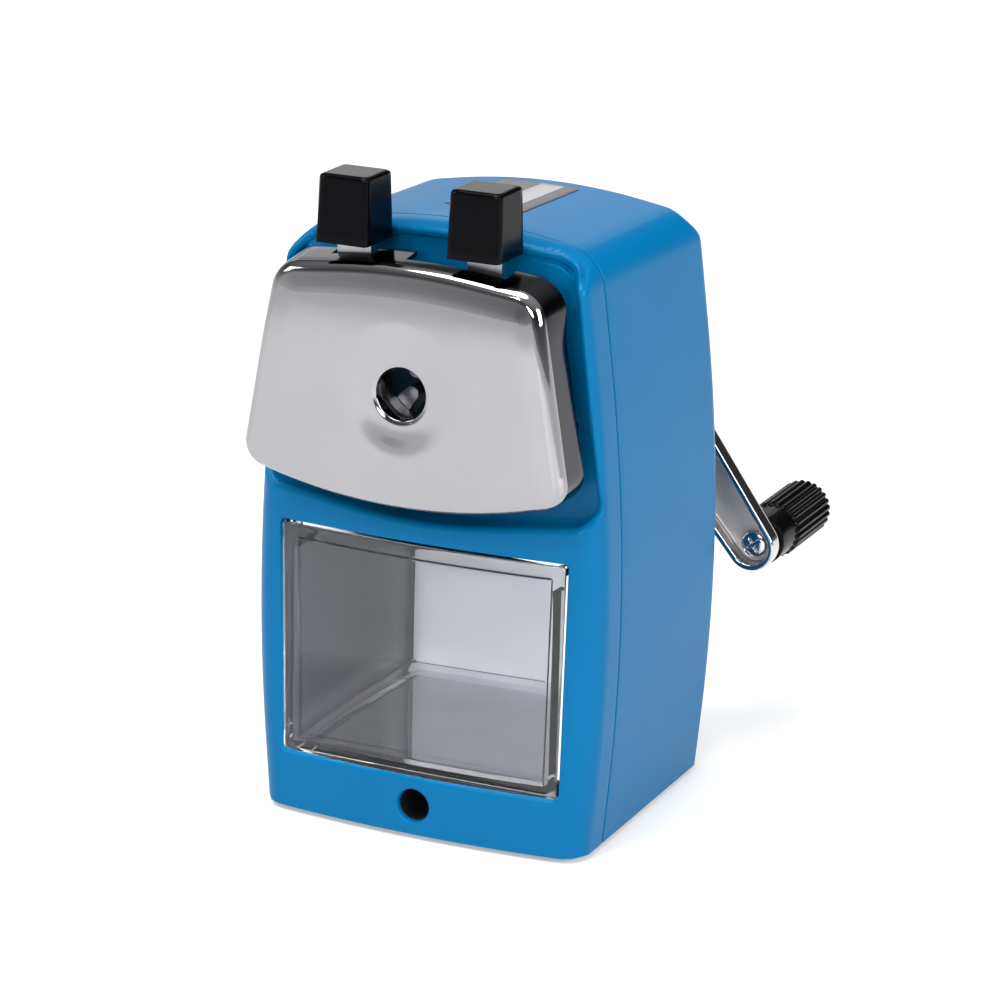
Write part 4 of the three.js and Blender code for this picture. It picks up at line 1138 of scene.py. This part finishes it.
FLOOR = material("pale_floor", (0.6, 0.6, 0.6, 1), rough=0.6, vary=0.01, scale=3, Emission_Color=(1, 1, 1, 1),
                 Emission_Strength=0.32)
floor = plane("floor", 6.0, FLOOR)
floor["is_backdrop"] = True

world = bpy.data.worlds.new("studio")
bpy.context.scene.world = world
world.use_nodes = True
sky, join = world.node_tree, world.node_tree.links.new
split = sky.nodes.new("ShaderNodeSeparateXYZ")
join(sky.nodes.new("ShaderNodeTexCoord").outputs["Generated"], split.inputs["Vector"])


def glow_ramp(axis, stops):
    """Grey levels along one axis of the sky direction, as (position, level) pairs."""
    ramp = sky.nodes.new("ShaderNodeValToRGB")
    span = sky.nodes.new("ShaderNodeMapRange")
    span.inputs["From Min"].default_value = -1
    join(split.outputs[axis], span.inputs["Value"])
    join(span.outputs["Result"], ramp.inputs["Fac"])
    marks = ramp.color_ramp.elements
    marks[0].position, marks[1].position = stops[0][0], stops[-1][0]
    marks[0].color = (stops[0][1],) * 3 + (1,)
    marks[1].color = (stops[-1][1],) * 3 + (1,)
    for position, glow in stops[1:-1]:
        marks.new(position).color = (glow * 0.97, glow * 0.985, glow, 1)
    return ramp


# the left of the room is light; the right is dark between the table and the ceiling
light_side = glow_ramp("Z", ((0.5, 0.85), (0.56, 0.6), (0.64, 0.28), (0.75, 0.1), (0.88, 0.25), (1.0, 0.6)))
dark_side = glow_ramp("Z", ((0.5, 0.3), (0.53, 0.12), (0.575, 0.04), (0.7, 0.05), (0.82, 0.4), (1.0, 0.6)))
across = glow_ramp("X", ((0.0, 0.0), (0.27, 0.0), (0.46, 1.0), (1.0, 1.0)))
room = blend_node(sky, "RGBA")
join(across.outputs["Color"], enabled(room.inputs, "Factor"))
join(light_side.outputs["Color"], enabled(room.inputs, "A"))
join(dark_side.outputs["Color"], enabled(room.inputs, "B"))
join(enabled(room.outputs, "Result"), sky.nodes["Background"].inputs["Color"])
sky.nodes["Background"].inputs["Strength"].default_value = 1.0
bpy.context.scene.view_settings.view_transform = "Standard"


def area(name, place, aim, width, height, power):
    light = bpy.data.lights.new(name, "AREA")
    light.shape = "RECTANGLE"
    light.size, light.size_y = width, height
    light.energy = power
    obj = add(name, light)
    obj.location = place
    obj.rotation_euler = (Vector(aim) - Vector(place)).to_track_quat("-Z", "Y").to_euler()


def sun(name, direction, strength, spread):
    light = bpy.data.lights.new(name, "SUN")
    light.energy = strength
    light.angle = math.radians(spread)
    add(name, light).rotation_euler = Vector(direction).to_track_quat("Z", "Y").to_euler()


sun("overhead", (-0.1, -0.2, 0.97), 3.0, 38)
# name, where it stands, what it points at, width, height and power
area("flank", (0.85, -0.3, 0.45), (0, 0, 0.06), 0.5, 0.5, 8.0)
area("key", (0.14, -0.85, 0.34), (0, 0, 0.04), 0.26, 0.2, 2.6)
area("side", (-0.6, -0.4, 0.5), (0, 0, 0.06), 0.25, 0.25, 1.5)
area("glint", (-0.12, -0.6, 0.62), (0, 0, 0.08), 0.05, 0.05, 1.5)
area("rim", (-0.35, 0.75, 0.42), (0, 0, 0.1), 0.7, 0.3, 0.7)

# the camera that was fitted to the photograph's edges
AZIMUTH, ELEVATION, ROLL = (math.radians(a) for a in (24.44, 17.26, 1.42))
DISTANCE = 0.6994
target = Vector((-2.56, 40 + FRONT_Y, 51.03 + FLOOR_EDGE)) / 1000
back = Vector((math.sin(AZIMUTH) * math.cos(ELEVATION), -math.cos(AZIMUTH) * math.cos(ELEVATION), math.sin(ELEVATION)))
lens = bpy.data.cameras.new("camera")
lens.sensor_width = 36
lens.lens = 137.3
lens.clip_end = 20
camera = add("camera", lens)
camera.location = target + back * DISTANCE
side = Vector((0, 0, 1)).cross(back).normalized()
up = back.cross(side)
right = side * math.cos(ROLL) + up * math.sin(ROLL)
above = up * math.cos(ROLL) - side * math.sin(ROLL)
camera.rotation_euler = Matrix((right, above, back)).transposed().to_euler()
bpy.context.scene.camera = camera

low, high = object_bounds()
